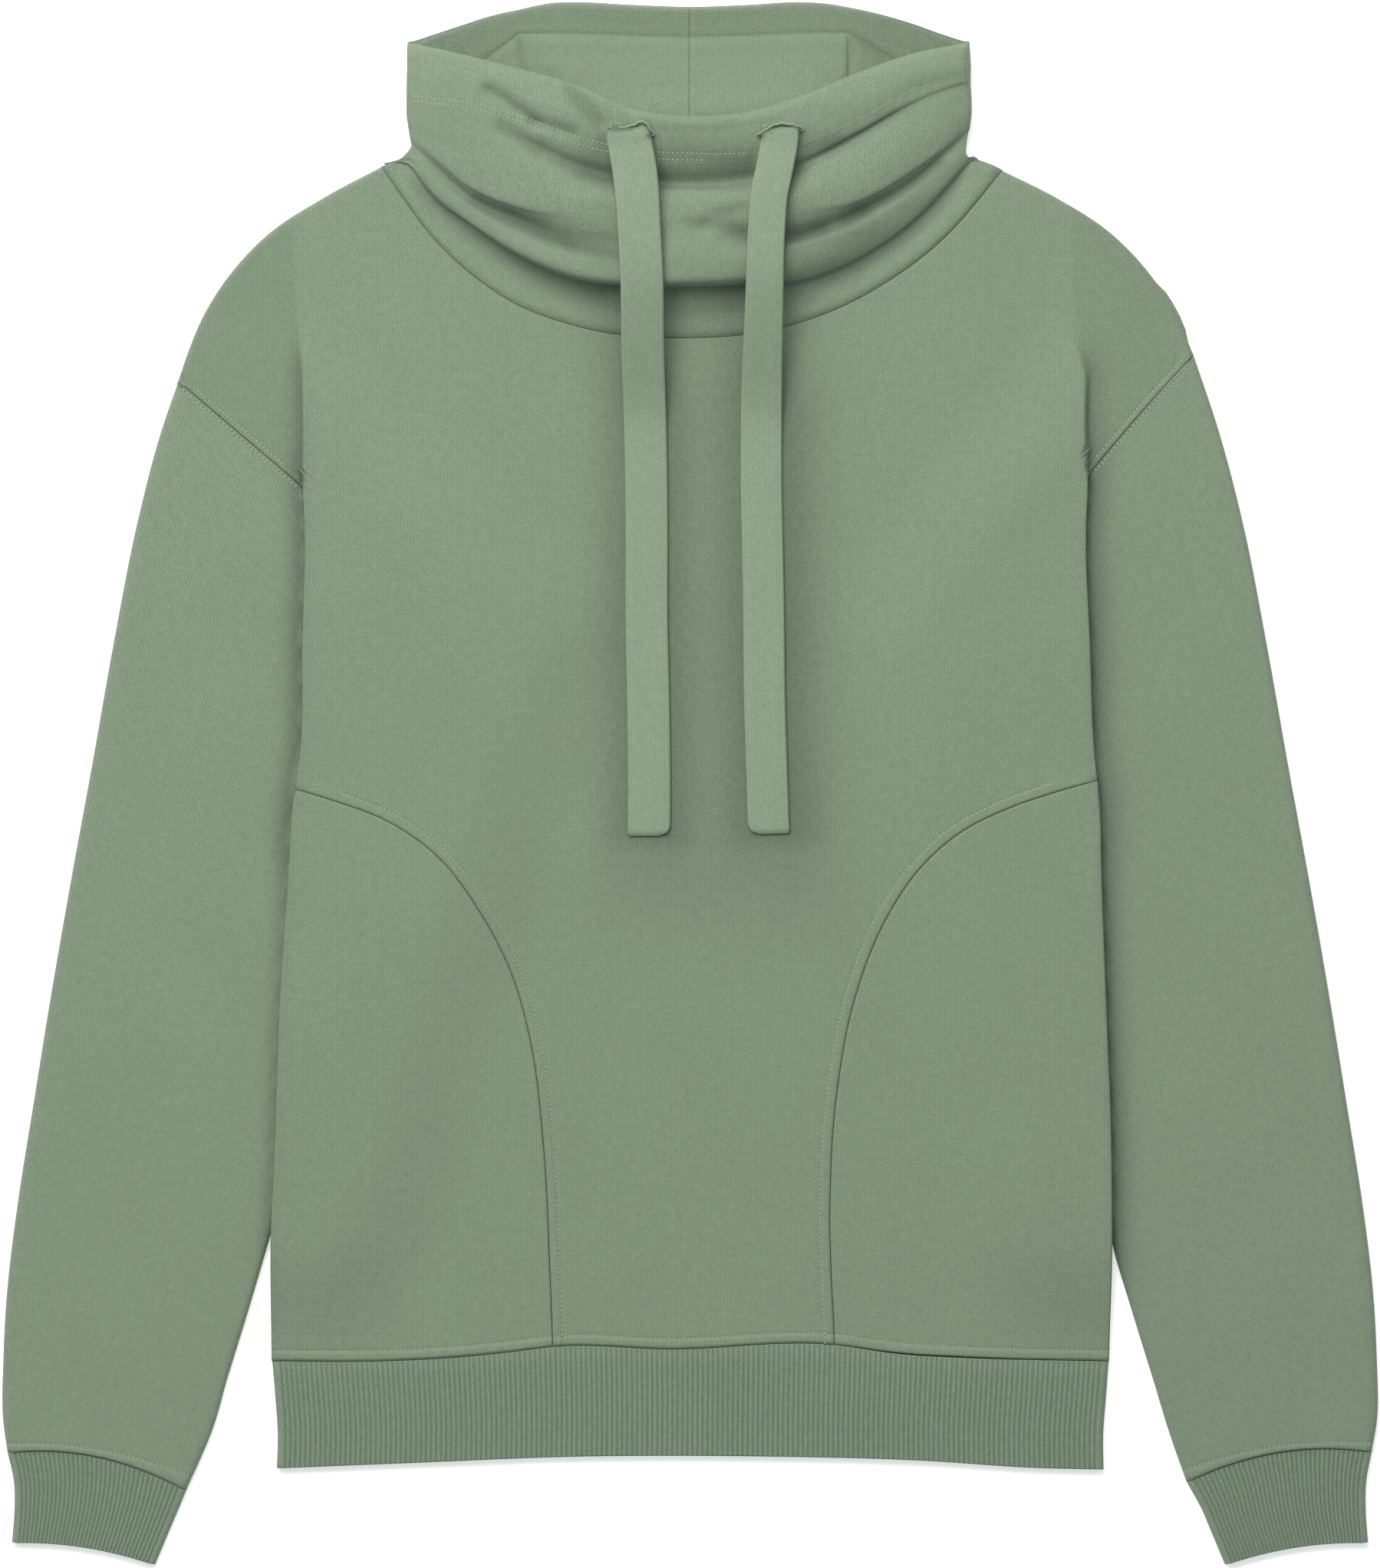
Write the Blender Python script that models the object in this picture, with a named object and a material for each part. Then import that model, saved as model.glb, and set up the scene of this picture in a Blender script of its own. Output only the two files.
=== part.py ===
"""Funnel neck sweatshirt with flat self-fabric drawcords, laid out on a surface, front up.

Millimetres are used in the tables and turned to metres when a mesh is made. +X runs to the right as
seen from above, which is the wearer's left, +Y from the hem to the neck, and +Z up. The origin is on the
surface, at the middle of the garment's outline.
"""

import math

import bmesh
import bpy
import numpy as np
from mathutils import Vector
from mathutils.geometry import delaunay_2d_cdt

MM = 0.001

# ---------------------------------------------------------------- driving dimensions, in millimetres

WALL = 2.0             # one layer of brushed sweatshirt fleece
SEAM_GAP = 0.2         # each piece stops this far from its seam line
LAYER_GAP = 1.3        # loft between the front and what it lies on
CORNER = 2.0           # outline points nearer to each other than this are one corner
SLEEVE_STEPS = 9       # points across a sleeve
PANEL_GRID = 33.0      # spacing of the points inside a flat panel
GRID_MARGIN = 0.4      # share of that spacing that its points keep from the rounded edge
ROUND_MARGIN = 0.9
NEAR = 0.001           # points nearer to each other than this are one point
SHARPEST = 0.45        # a sharper corner than this is cut short when an outline is moved in
TWO_LAYERS = WALL + LAYER_GAP + WALL
SLEEVE_HEIGHT = 6.6    # a sleeve lying flat, both layers
SLEEVE_CLEAR = 0.8     # loft between a sleeve and the body over it
FLANGE_TOP = 255.0     # y where the shoulder starts to rise to the sleeve's height
CUFF_HEIGHT = 6.0
HEM_HEIGHT = 6.2
RAMP = 62.0            # the body comes down from the sleeves over this width
RAMP_START = 24.0      # and starts this far from their inner edges
HEM_RISE = 30.0        # the body is flat at the hem seam, and is held up this far above it
FRONT_AHEAD = 4.0      # the front comes down this much further in than the back
FRONT_PAST = 16.0      # and this much further above the armhole
FRONT_CLEAR = 0.3
FLANGE_FADE = 60.0
FLANGE_STEP = 7.0      # the fold at the shoulder starts over this height
FOLD_STEP = 8.0        # and is this wide
MARGIN = 1.0
EDGE_ROUND = 5.0       # width of the rounded edge of the front
EDGE_DROP = 1.0        # and how far it drops there
CORD_WIDTH = 21.0
CORD_THICK = 2.6
COLLAR_WALL = 3.0      # the collar is cut double

# Spacing of outline points, and numbers of points across rows.
SHOULDER_STEP = 20.0
CURVED_SEAM_STEP = 17.0
SIDE_STEP = 22.0
HEM_STEP = 24.0
CORD_STEP = 12.0
ARMHOLE_STEPS = 12
CUFF_STEPS = 8
HEM_STEPS = 18
BACK_NECK_STEPS = 15

# Outline points run down the side of the garment. x is the distance out from the middle.
SHOULDER = (
    # x, y
    (191.0, 306.0),
    (220.0, 287.0),
    (238.0, 268.5),
    (253.0, 246.0),
    (262.4, 224.0),
)
NECK_POINT = {-1: (-161.0, 322.0), 1: (163.0, 320.0)}
SHOULDER_TIP = {-1: (-267.0, 210.0), 1: (262.8, 223.5)}
FOLD_START = {-1: (-202.2, 155.0), 1: (207.6, 160.5)}
UNDERARM = {-1: (-119.5, 84.5), 1: (155.0, 91.0)}
ARMHOLE_BOW = {-1: 0.0, 1: 5.0}
SLEEVE_SHOWS = {-1: (-219.0, -236.0), 1: (220.0, -239.0)}   # where the inner edge leaves the body
SLIT_PAST = 14.0       # the back's slit runs on past the underarm
SLIT_WIDTH = 16.0
TURN_START = math.radians(120.0)   # round the slit's end the back climbs from the surface
TURN_SPAN = math.radians(150.0)    # to the sleeve like a spiral ramp
SIDE_TOP = 138.0       # top of the back's side, over the sleeve

NECK_SEAM = (
    # x, y, from the left neck point round the front to the right one
    (-161.0, 322.0),
    (-135.0, 286.0),
    (-99.0, 255.0),
    (-58.0, 238.4),
    (-5.0, 232.6),
    (48.0, 238.0),
    (95.0, 257.0),
    (137.0, 289.0),
    (163.0, 320.0),
)
BACK_NECK_DROP = 11.0

HEM_CORNER = -301.0     # y of the lower corners of the body
BODY_SIDE = (
    # y, x of the left side, x of the right side
    (158.0, -202.0, 207.6),
    (130.0, -201.0, 206.6),
    (75.0, -202.2, 208.6),
    (10.0, -204.2, 211.6),
    (-2.0, -206.2, 213.0),
    (-52.0, -209.8, 214.8),
    (-111.0, -213.8, 217.0),
    (-188.0, -216.6, 219.8),
    (-236.0, -218.6, 220.2),
    (HEM_CORNER, -218.4, 218.6),
)

CURVED_SEAM = {
    # x, y, from the side of the body round to the hem
    -1: (
        (-206.0, -2.5), (-183.0, -9.7), (-160.0, -18.3), (-131.0, -38.4), (-110.0, -66.0),
        (-92.2, -101.0), (-83.0, -135.0), (-76.3, -189.0), (-73.0, -253.0), (-71.5, -293.5),
    ),
    1: (
        (212.8, 2.0), (189.0, -4.8), (164.0, -13.6), (140.0, -26.0), (120.0, -44.0),
        (101.0, -73.0), (86.6, -110.0), (76.2, -165.0), (73.0, -220.0), (75.4, -292.5),
    ),
}

HEM_SEAM = (
    # x, y
    (-219.0, HEM_CORNER),
    (-160.0, -301.0),
    (-91.0, -296.0),
    (-71.5, -293.5),
    (-10.0, -294.8),
    (75.4, -292.5),
    (107.0, -297.0),
    (150.0, -299.5),
    (219.0, HEM_CORNER),
)
HEM_EDGE = (
    # x, y, along the lower edge of the rib band
    (-216.0, -357.0),
    (-151.0, -354.4),
    (-56.0, -350.8),
    (40.0, -350.8),
    (118.0, -352.8),
    (182.0, -356.8),
    (216.0, -357.6),
)
HEM_ROWS = (
    # share of the way from the seam to the edge, x of the left end, x of the right end
    (0.0, -218.0, 218.4),
    (0.3, -216.6, 217.2),
    (0.68, -215.2, 215.6),
    (1.0, -215.6, 215.8),
)

SLEEVE_UPPER_ROWS = (
    # x and y of the outer edge, share of the hidden inner edge; the row before these is the armhole
    (275.5, 185.5, 0.07),
    (288.5, 136.0, 0.17),
    (300.5, 75.0, 0.3),
    (312.2, 9.0, 0.45),
    (323.0, -50.0, 0.59),
    (333.6, -111.0, 0.72),
    (342.8, -168.0, 0.86),
    (351.0, -220.0, 1.0),
)
SLEEVE_LOWER_ROWS = (
    # x and y of the outer edge, x and y of the inner edge
    (356.3, -264.0, 230.5, -275.0),
    (358.3, -300.0, 241.0, -309.0),
    (358.4, -332.0, 251.5, -343.0),
)
CUFF_SEAM = {
    # x and y of the outer end, x and y of the inner end
    -1: (356.2, -348.2, 262.6, -368.0),
    1: (355.8, -347.8, 258.8, -363.6),
}
CUFF_BOW = 7.0
CUFF_INSET = 1.2       # the rib is drawn in at each side of its seam
CUFF_ROWS = (
    # x and y of the outer edge, x and y of the inner edge, bow
    (352.8, -364.0, 266.5, -377.5, 5.5),
    (352.6, -380.0, 271.0, -388.0, 4.0),
    (353.8, -395.5, 279.0, -407.1, 3.0),
)

COLLAR_STEPS = 27      # points across the front of the collar
COLLAR_SEAM_HEIGHT = 5.4
COLLAR_STATIONS = (-1.0, -0.67, -0.33, 0.0, 0.33, 0.67, 1.0)
COLLAR_ROWS = (
    # name, x of the two ends, then y at each station, then height at each station
    ("base", -156.0, 156.0, (324, 270, 250, 247, 252, 274, 321), (5, 6.5, 7, 7.5, 7, 6.5, 5)),
    ("foot", -151.0, 149.0, (326, 281, 262.5, 260.5, 265, 284, 322), (6, 9, 10, 11, 10, 9, 6)),
    ("overhang", -149.0, 146.0, (327, 282.5, 263.0, 261.4, 266, 285, 324), (7, 16, 19, 20, 19, 16, 7)),
    ("roll", -147.0, 145.0, (330, 291, 273.5, 273, 277, 294, 330), (8, 24, 30, 32, 30, 24, 8)),
    ("dip", -145.0, 144.4, (334, 302, 287, 293, 296, 311, 339), (8, 20, 25, 29, 25, 20, 8)),
    ("second roll", -145.0, 144.4, (339, 316, 302, 306, 310, 327, 347), (8, 24, 31, 33, 31, 25, 8)),
    ("valley", -145.5, 145.4, (347, 336, 321, 320.5, 327, 347, 358), (8, 20, 22, 20, 22, 20, 8)),
    ("casing seam", -146.0, 146.4, (356, 348, 334, 329, 337, 354, 366), (8, 22, 26, 26, 26, 22, 8)),
    ("casing", -147.6, 146.8, (370, 362, 348, 339, 348, 365, 376), (8, 23, 29, 31, 29, 23, 8)),
    ("rim", -147.8, 146.6, (386.5, 375.5, 360.5, 347.8, 355.5, 375.5, 386.5), (5, 16, 25, 28, 25, 16, 5)),
)
BACK_RIM_RISE = (
    # share of the half width, rise above the side corners
    (0.0, 18.6),
    (0.25, 19.8),
    (0.5, 20.2),
    (0.64, 17.5),
    (0.8, 10.5),
    (1.0, 0.0),
)
COLLAR_INNER_ROWS = (
    # share of the way from seam to rim, height of the front's inner face in the middle
    (0.0, 2.9),
    (0.15, 6.0),
    (0.3, 13.0),
    (0.5, 17.0),
    (0.75, 19.0),
    (1.0, 24.0),
)
COLLAR_HALF = 148.0    # half the width of the collar
COLLAR_TURN = 0.35     # the share of its height at which the collar turns under at its sides
COLLAR_TURN_INSIDE = 2.6
COLLAR_SQUARE = 2.4    # power of the curve across the inside of the rolls
BACK_HALF = 0.97       # share of its half width that the back of the collar takes before it turns
BACK_INSIDE = 0.985    # and how much narrower it is on its inside
INNER_CLEAR = 0.4      # loft between the two inner faces at the sides
INNER_SHIFT = 1.0
LEDGE_Y = 389.5        # inside the back of the collar, the lower part stands proud of the casing
LEDGE_MIDDLE = -3.0
LEDGE_HALF = 100.0
LEDGE_HEIGHT = 7.0
LEDGE_STEP = 4.0       # width over which it rises at its top
LEDGE_FADE = 16.0      # and at its two ends
LEDGE_FOOT = 318.0     # y where it starts to rise at its foot
LEDGE_FOOT_FADE = 20.0

CORD_ROUTES = {
    # x, y, height of the middle of the cord, from its slit to its free end
    -1: (
        (-31.5, 341.5, 33.2), (-30.2, 332.0, 34.2), (-29.3, 320.0, 35.0), (-28.2, 306.0, 36.2),
        (-27.2, 290.0, 36.0), (-26.6, 275.0, 34.8), (-26.2, 262.0, 30.2), (-25.9, 250.0, 24.4),
        (-25.6, 236.0, 18.6), (-25.2, 220.0, 13.4), (-24.9, 202.0, 9.6), (-24.5, 182.0, 7.6),
        (-24.0, 160.0, 6.9), (-23.5, 125.0, 6.9), (-23.0, 85.0, 6.9), (-22.4, 45.0, 6.9),
        (-21.9, 8.0, 6.9), (-21.6, -27.0, 6.9),
    ),
    1: (
        (46.6, 341.5, 31.8), (45.0, 332.0, 33.2), (43.4, 320.0, 34.6), (41.4, 306.0, 35.8),
        (40.0, 290.0, 35.4), (39.2, 275.0, 34.2), (38.8, 262.0, 29.6), (38.6, 250.0, 23.8),
        (38.4, 236.0, 18.0), (38.2, 220.0, 13.0), (37.8, 202.0, 9.4), (37.2, 182.0, 7.6),
        (36.8, 160.0, 6.9), (36.6, 125.0, 6.9), (37.0, 85.0, 6.9), (38.2, 45.0, 6.9),
        (39.4, 8.0, 6.9), (40.6, -26.0, 6.9),
    ),
}

# Name, linear base colour and roughness of each cloth.
SAGE_FLEECE = ("Sage brushed fleece", (0.24, 0.34, 0.225), 0.92)
SAGE_RIB = ("Sage cotton rib", (0.205, 0.3, 0.195), 0.94)
SAGE_CORD = ("Sage self-fabric cord", (0.25, 0.35, 0.235), 0.9)


# ---------------------------------------------------------------- curves

def flow(stations, values, where):
    """Value at each place of a smooth curve through the stations, which rise."""
    stations = np.asarray(stations, float)
    values = np.asarray(values, float)
    where = np.clip(np.asarray(where, float), stations[0], stations[-1])
    slopes = np.gradient(values, stations)
    span = np.clip(np.searchsorted(stations, where, side="right") - 1, 0, len(stations) - 2)
    width = stations[span + 1] - stations[span]
    t = (where - stations[span]) / width
    start = (1 + 2 * t) * (1 - t) ** 2 * values[span] + t * (1 - t) ** 2 * width * slopes[span]
    end = t * t * (3 - 2 * t) * values[span + 1] + t * t * (t - 1) * width * slopes[span + 1]
    return start + end


def run(points, step):
    """Points about a step apart on a smooth line through the given points, ends included."""
    points = np.asarray(points, float)
    lengths = np.linalg.norm(np.diff(points, axis=0), axis=1)
    along = np.concatenate(([0.0], np.cumsum(lengths)))
    places = np.linspace(0.0, along[-1], max(2, round(along[-1] / step) + 1))
    return np.stack([flow(along, column, places) for column in points.T], axis=1)


def soft(t):
    """0 below 0, 1 above 1, and a soft step between."""
    t = np.clip(t, 0.0, 1.0)
    return t * t * (3 - 2 * t)


# ---------------------------------------------------------------- the form that the body lies on

def side_x(side, y):
    """Where the edge of the body is at this y."""
    rows = sorted(BODY_SIDE)
    column = 1 if side < 0 else 2
    return flow([row[0] for row in rows], [row[column] for row in rows], y)


def inside_sleeve(x, y, side):
    """How far a point is inside the inner edge of the sleeve, along the hidden part of that edge."""
    ax, ay = UNDERARM[side]
    bx, by = SLEEVE_SHOWS[side]
    length = math.hypot(bx - ax, by - ay)
    return side * ((x - ax) * (ay - by) + (y - ay) * (bx - ax)) / length


def from_slit(x, y, side):
    """How far a point lies outwards along the armhole from the end of its slit, and how far above it."""
    ax, ay = slit_end(side)
    tip_x, tip_y = SHOULDER_TIP[side]
    reach = math.hypot(tip_x - ax, tip_y - ay)
    out = ((x - ax) * (tip_x - ax) + (y - ay) * (tip_y - ay)) / reach
    above = ((y - ay) * (tip_x - ax) - (x - ax) * (tip_y - ay)) * side / reach
    return out, above


def slit_end(side):
    """The inner end of the slit in the back, a little past the underarm."""
    ax, ay = UNDERARM[side]
    tip_x, tip_y = SHOULDER_TIP[side]
    reach = math.hypot(tip_x - ax, tip_y - ay)
    return ax - (tip_x - ax) / reach * SLIT_PAST, ay - (tip_y - ay) / reach * SLIT_PAST


def by_hem(y):
    """0 at the hem seam, where the sleeves no longer hold the body up, and 1 well above it."""
    return soft((y - HEM_CORNER + MARGIN) / HEM_RISE)


def over_sleeve(x, y):
    """0 where the back lies on the surface and 1 where it lies on a sleeve."""
    total = 0.0
    for side in (-1, 1):
        out, above = from_slit(x, y, side)
        ramp = soft((inside_sleeve(x, y, side) + RAMP_START + RAMP) / RAMP)
        turn = np.arctan2(above, -out)
        total = total + ramp * soft((TURN_START - turn) / TURN_SPAN)
    return total * by_hem(y)


def back_under(x, y):
    """Lower face of the back."""
    return (SLEEVE_HEIGHT + SLEEVE_CLEAR) * over_sleeve(x, y)


def front_rise(x, y):
    """How high the back and the sleeves hold the front."""
    total = 0.0
    for side in (-1, 1):
        _, above = from_slit(x, y, side)
        ramp = soft((inside_sleeve(x, y, side) + RAMP_START + RAMP + FRONT_AHEAD) / RAMP)
        total = total + ramp * soft((RAMP + FRONT_PAST - above) / RAMP)
    return total * by_hem(y)


def front_top(x, y):
    """Upper face of the front: up on the sleeves, and down outside the fold at the shoulders."""
    x = np.asarray(x, float)
    y = np.asarray(y, float)
    middle = TWO_LAYERS + (SLEEVE_HEIGHT + SLEEVE_CLEAR + FRONT_CLEAR) * front_rise(x, y)
    side = np.where(x < 0, -1, 1)
    fold = np.where(x < 0, side_x(-1, y), side_x(1, y))
    inside = side * (fold - x)
    start_y = np.where(x < 0, FOLD_START[-1][1], FOLD_START[1][1])
    flange = TWO_LAYERS + (SLEEVE_HEIGHT - TWO_LAYERS) * soft((FLANGE_TOP - y) / FLANGE_FADE)
    on_flange = soft((y - start_y - MARGIN) / FLANGE_STEP)
    outside = flange * on_flange + (middle - EDGE_DROP) * (1 - on_flange)
    step = soft((inside + MARGIN) / FOLD_STEP)
    return outside + (middle - outside) * step


# ---------------------------------------------------------------- meshes

def make_object(name, mesh_builder, cloth):
    """Turn a bmesh in millimetres into a named object with its own material."""
    label, colour, roughness = cloth
    mesh = bpy.data.meshes.new(name)
    bmesh.ops.scale(mesh_builder, vec=(MM, MM, MM), verts=mesh_builder.verts)
    bmesh.ops.triangulate(mesh_builder, faces=mesh_builder.faces)
    mesh_builder.to_mesh(mesh)
    mesh_builder.free()
    mesh.shade_smooth()
    material = bpy.data.materials.new(f"{label}, {name}")
    material.use_nodes = True
    shader = material.node_tree.nodes["Principled BSDF"]
    shader.inputs["Base Color"].default_value = (*colour, 1.0)
    shader.inputs["Roughness"].default_value = roughness
    shader.inputs["Metallic"].default_value = 0.0
    mesh.materials.append(material)
    piece = bpy.data.objects.new(name, mesh)
    bpy.context.scene.collection.objects.link(piece)
    return piece


def inset(outline, distance):
    """The outline moved in. It runs anticlockwise, and its first point isn't repeated."""
    before = np.roll(outline, 1, axis=0)
    after = np.roll(outline, -1, axis=0)
    first = outline - before
    second = after - outline
    first /= np.linalg.norm(first, axis=1)[:, None]
    second /= np.linalg.norm(second, axis=1)[:, None]
    bisector = np.stack([-(first + second)[:, 1], (first + second)[:, 0]], axis=1)
    bisector /= np.maximum(np.linalg.norm(bisector, axis=1), SHARPEST)[:, None]
    cosine = -first[:, 1] * bisector[:, 0] + first[:, 0] * bisector[:, 1]
    return outline + bisector * (distance / np.maximum(cosine, SHARPEST))[:, None]


def inside_outline(points, outline):
    """Which points are inside the outline, and how far each is from it."""
    start = outline
    end = np.roll(outline, -1, axis=0)
    inside = np.zeros(len(points), bool)
    nearest = np.full(len(points), np.inf)
    for (ax, ay), (bx, by) in zip(start, end):
        crosses = (points[:, 1] < ay) != (points[:, 1] < by)
        if ay != by:
            inside ^= crosses & (points[:, 0] < ax + (points[:, 1] - ay) * (bx - ax) / (by - ay))
        length_2 = (bx - ax) ** 2 + (by - ay) ** 2
        t = np.clip(((points[:, 0] - ax) * (bx - ax) + (points[:, 1] - ay) * (by - ay)) / length_2, 0, 1)
        gap = np.hypot(points[:, 0] - ax - t * (bx - ax), points[:, 1] - ay - t * (by - ay))
        nearest = np.minimum(nearest, gap)
    return inside, nearest


def panel(name, outline, top, under, cloth):
    """A sheet of cloth cut to an outline, with a row of points just inside its edge and a grid within."""
    outline = inset(np.asarray(outline, float), SEAM_GAP)
    low = np.floor(outline.min(axis=0) / PANEL_GRID) * PANEL_GRID
    steps = [np.arange(start, end, PANEL_GRID) for start, end in zip(low, outline.max(axis=0))]
    grid = np.stack(np.meshgrid(*steps), axis=-1).reshape(-1, 2)
    inner_points = []
    just_inside = inset(outline, EDGE_ROUND)
    grid_margin = EDGE_ROUND + PANEL_GRID * GRID_MARGIN
    for points, margin in ((grid, grid_margin), (just_inside, EDGE_ROUND * ROUND_MARGIN)):
        inside, nearest = inside_outline(points, outline)
        inner_points.append(points[inside & (nearest > margin)])
    count = len(outline)
    points = np.concatenate([outline] + inner_points)
    edges = [(i, (i + 1) % count) for i in range(count)]
    found = delaunay_2d_cdt([Vector(p) for p in points], edges, [], 1, NEAR)
    flat = np.array([(v.x, v.y) for v in found[0]])
    faces = found[2]
    builder = bmesh.new()
    upper = [builder.verts.new((x, y, z)) for (x, y), z in zip(flat, top(flat[:, 0], flat[:, 1]))]
    lower = [builder.verts.new((x, y, z)) for (x, y), z in zip(flat, under(flat[:, 0], flat[:, 1]))]
    for face in faces:
        builder.faces.new([upper[i] for i in face])
        builder.faces.new([lower[i] for i in reversed(face)])
    for edge in [e for e in builder.edges if e.is_boundary and e.verts[0] in set(upper)]:
        face = edge.link_faces[0]
        loop = next(item for item in face.loops if item.edge == edge)
        a, b = loop.vert, loop.link_loop_next.vert
        builder.faces.new([b, a, lower[upper.index(a)], lower[upper.index(b)]])
    return make_object(name, builder, cloth)


def wall(name, outer, inner, cloth):
    """A tube of cloth from rings of points. The first and last rings are its open ends."""
    builder = bmesh.new()
    skins = []
    for rings in (outer, inner):
        skins.append([[builder.verts.new(point) for point in ring] for ring in rings])
    count = len(outer[0])

    def band(first, second):
        for i in range(count):
            j = (i + 1) % count
            builder.faces.new([first[i], first[j], second[j], second[i]])

    for first, second in zip(skins[0], skins[0][1:]):
        band(first, second)
    for first, second in zip(skins[1], skins[1][1:]):
        band(second, first)
    band(skins[1][0], skins[0][0])
    band(skins[0][-1], skins[1][-1])
    bmesh.ops.recalc_face_normals(builder, faces=builder.faces)
    return make_object(name, builder, cloth)


def flat_ring(line, height, inside, end_steps=4):
    """A flattened ring of cloth over a line on the surface; inside gives the inner face of its wall."""
    line = np.asarray(line, float)
    middle = height / 2
    radius = middle - inside
    first = line[1] - line[0]
    last = line[-1] - line[-2]
    first /= np.linalg.norm(first)
    last /= np.linalg.norm(last)
    trimmed = line.copy()
    trimmed[0] = line[0] + first * middle
    trimmed[-1] = line[-1] - last * middle
    ring = [(x, y, middle + radius) for x, y in trimmed]
    for step in range(1, end_steps):
        angle = math.pi * step / end_steps
        x, y = trimmed[-1] + last * radius * math.sin(angle)
        ring.append((x, y, middle + radius * math.cos(angle)))
    ring += [(x, y, middle - radius) for x, y in trimmed[::-1]]
    for step in range(1, end_steps):
        angle = math.pi * step / end_steps
        x, y = trimmed[0] - first * radius * math.sin(angle)
        ring.append((x, y, middle - radius * math.cos(angle)))
    return ring


def bowed(start, end, bow, steps):
    """Points on a line from start to end that bows up by the given amount in its middle."""
    share = np.linspace(0.0, 1.0, steps)
    x = start[0] + (end[0] - start[0]) * share
    y = start[1] + (end[1] - start[1]) * share + bow * 4 * share * (1 - share)
    return np.stack([x, y], axis=1)


# ---------------------------------------------------------------- pieces

def shoulder_line(side):
    """From the neck point to the tip of the shoulder."""
    between = [(side * x, y) for x, y in SHOULDER]
    return run([NECK_POINT[side], *between, SHOULDER_TIP[side]], SHOULDER_STEP)


def armhole_line(side, steps):
    """From the tip of the shoulder to the underarm."""
    return bowed(SHOULDER_TIP[side], UNDERARM[side], ARMHOLE_BOW[side], steps)


def body_side_line(side, top, bottom):
    """Down the side of the body."""
    y = np.linspace(top, bottom, max(2, round((top - bottom) / SIDE_STEP) + 1))
    return np.stack([side_x(side, y), y], axis=1)


def hem_line(start, end):
    """Along the hem seam between two x values."""
    xs, ys = zip(*HEM_SEAM)
    x = np.linspace(start, end, max(2, round(abs(end - start) / HEM_STEP) + 1))
    return np.stack([x, flow(xs, ys, x)], axis=1)


def neck_line():
    """Round the front of the neck, on the seam."""
    xs, ys = zip(*NECK_SEAM)
    x = np.linspace(xs[0], xs[-1], COLLAR_STEPS)
    return np.stack([x, flow(xs, ys, x)], axis=1)


def seen_armhole(side):
    """The part of the armhole seam outside the fold of the body, from the tip inwards."""
    line = armhole_line(side, ARMHOLE_STEPS)
    fold = side * FOLD_START[side][0]
    return [p for p in line if side * p[0] > fold + 2 * CORNER] + [np.array(FOLD_START[side])]


def join(*lines):
    """One closed outline from lines whose ends meet within a corner's width."""
    points = []
    for line in lines:
        for point in line:
            if not points or np.hypot(*(np.asarray(point) - points[-1])) > CORNER:
                points.append(np.asarray(point, float))
    if np.hypot(*(points[0] - points[-1])) < CORNER:
        points.pop()
    return np.array(points)


def front_under(x, y):
    return front_top(x, y) - WALL


def back_top(x, y):
    return back_under(x, y) + WALL


def make_front():
    """The front in three pieces: the upper and middle one, and one under each curved seam."""
    seams = {side: run(CURVED_SEAM[side], CURVED_SEAM_STEP) for side in (-1, 1)}
    middle = join(
        neck_line()[::-1] - (0.0, SEAM_GAP),
        shoulder_line(-1),
        seen_armhole(-1),
        body_side_line(-1, FOLD_START[-1][1], CURVED_SEAM[-1][0][1]),
        seams[-1],
        hem_line(CURVED_SEAM[-1][-1][0], CURVED_SEAM[1][-1][0]),
        seams[1][::-1],
        body_side_line(1, FOLD_START[1][1], CURVED_SEAM[1][0][1])[::-1],
        seen_armhole(1)[::-1],
        shoulder_line(1)[::-1],
    )
    panel("front_center", middle, front_top, front_under, SAGE_FLEECE)
    left = join(
        seams[-1][::-1],
        body_side_line(-1, CURVED_SEAM[-1][0][1], HEM_CORNER),
        hem_line(side_x(-1, HEM_CORNER), CURVED_SEAM[-1][-1][0]),
    )
    right = join(
        seams[1],
        hem_line(CURVED_SEAM[1][-1][0], side_x(1, HEM_CORNER)),
        body_side_line(1, CURVED_SEAM[1][0][1], HEM_CORNER)[::-1],
    )
    panel("front_side_left", left, front_top, front_under, SAGE_FLEECE)
    panel("front_side_right", right, front_top, front_under, SAGE_FLEECE)


def slit(side):
    """The hidden edges of the back at the armhole: on the surface above it, on the sleeve below it."""
    line = list(armhole_line(side, ARMHOLE_STEPS))
    edge = side * side_x(side, SIDE_TOP)
    lower = [p - (0.0, SLIT_WIDTH) for p in line if side * p[0] < edge - 3 * CORNER]
    upper = line + [np.array(slit_end(side))]
    return upper, lower[::-1] + [np.array([side_x(side, SIDE_TOP), SIDE_TOP])]


def make_back():
    """The back in one piece, with the armholes as slits that the flattened sleeves leave through."""
    back_neck = bowed(NECK_POINT[1], NECK_POINT[-1], -BACK_NECK_DROP, BACK_NECK_STEPS) - (0.0, SEAM_GAP)
    left_upper, left_lower = slit(-1)
    right_upper, right_lower = slit(1)
    outline = join(
        back_neck,
        shoulder_line(-1),
        left_upper,
        left_lower,
        body_side_line(-1, SIDE_TOP, HEM_CORNER),
        hem_line(side_x(-1, HEM_CORNER), side_x(1, HEM_CORNER)),
        body_side_line(1, SIDE_TOP, HEM_CORNER)[::-1],
        right_lower[::-1],
        right_upper[::-1],
        shoulder_line(1)[::-1],
    )
    panel("back", outline, back_top, back_under, SAGE_FLEECE)


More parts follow.
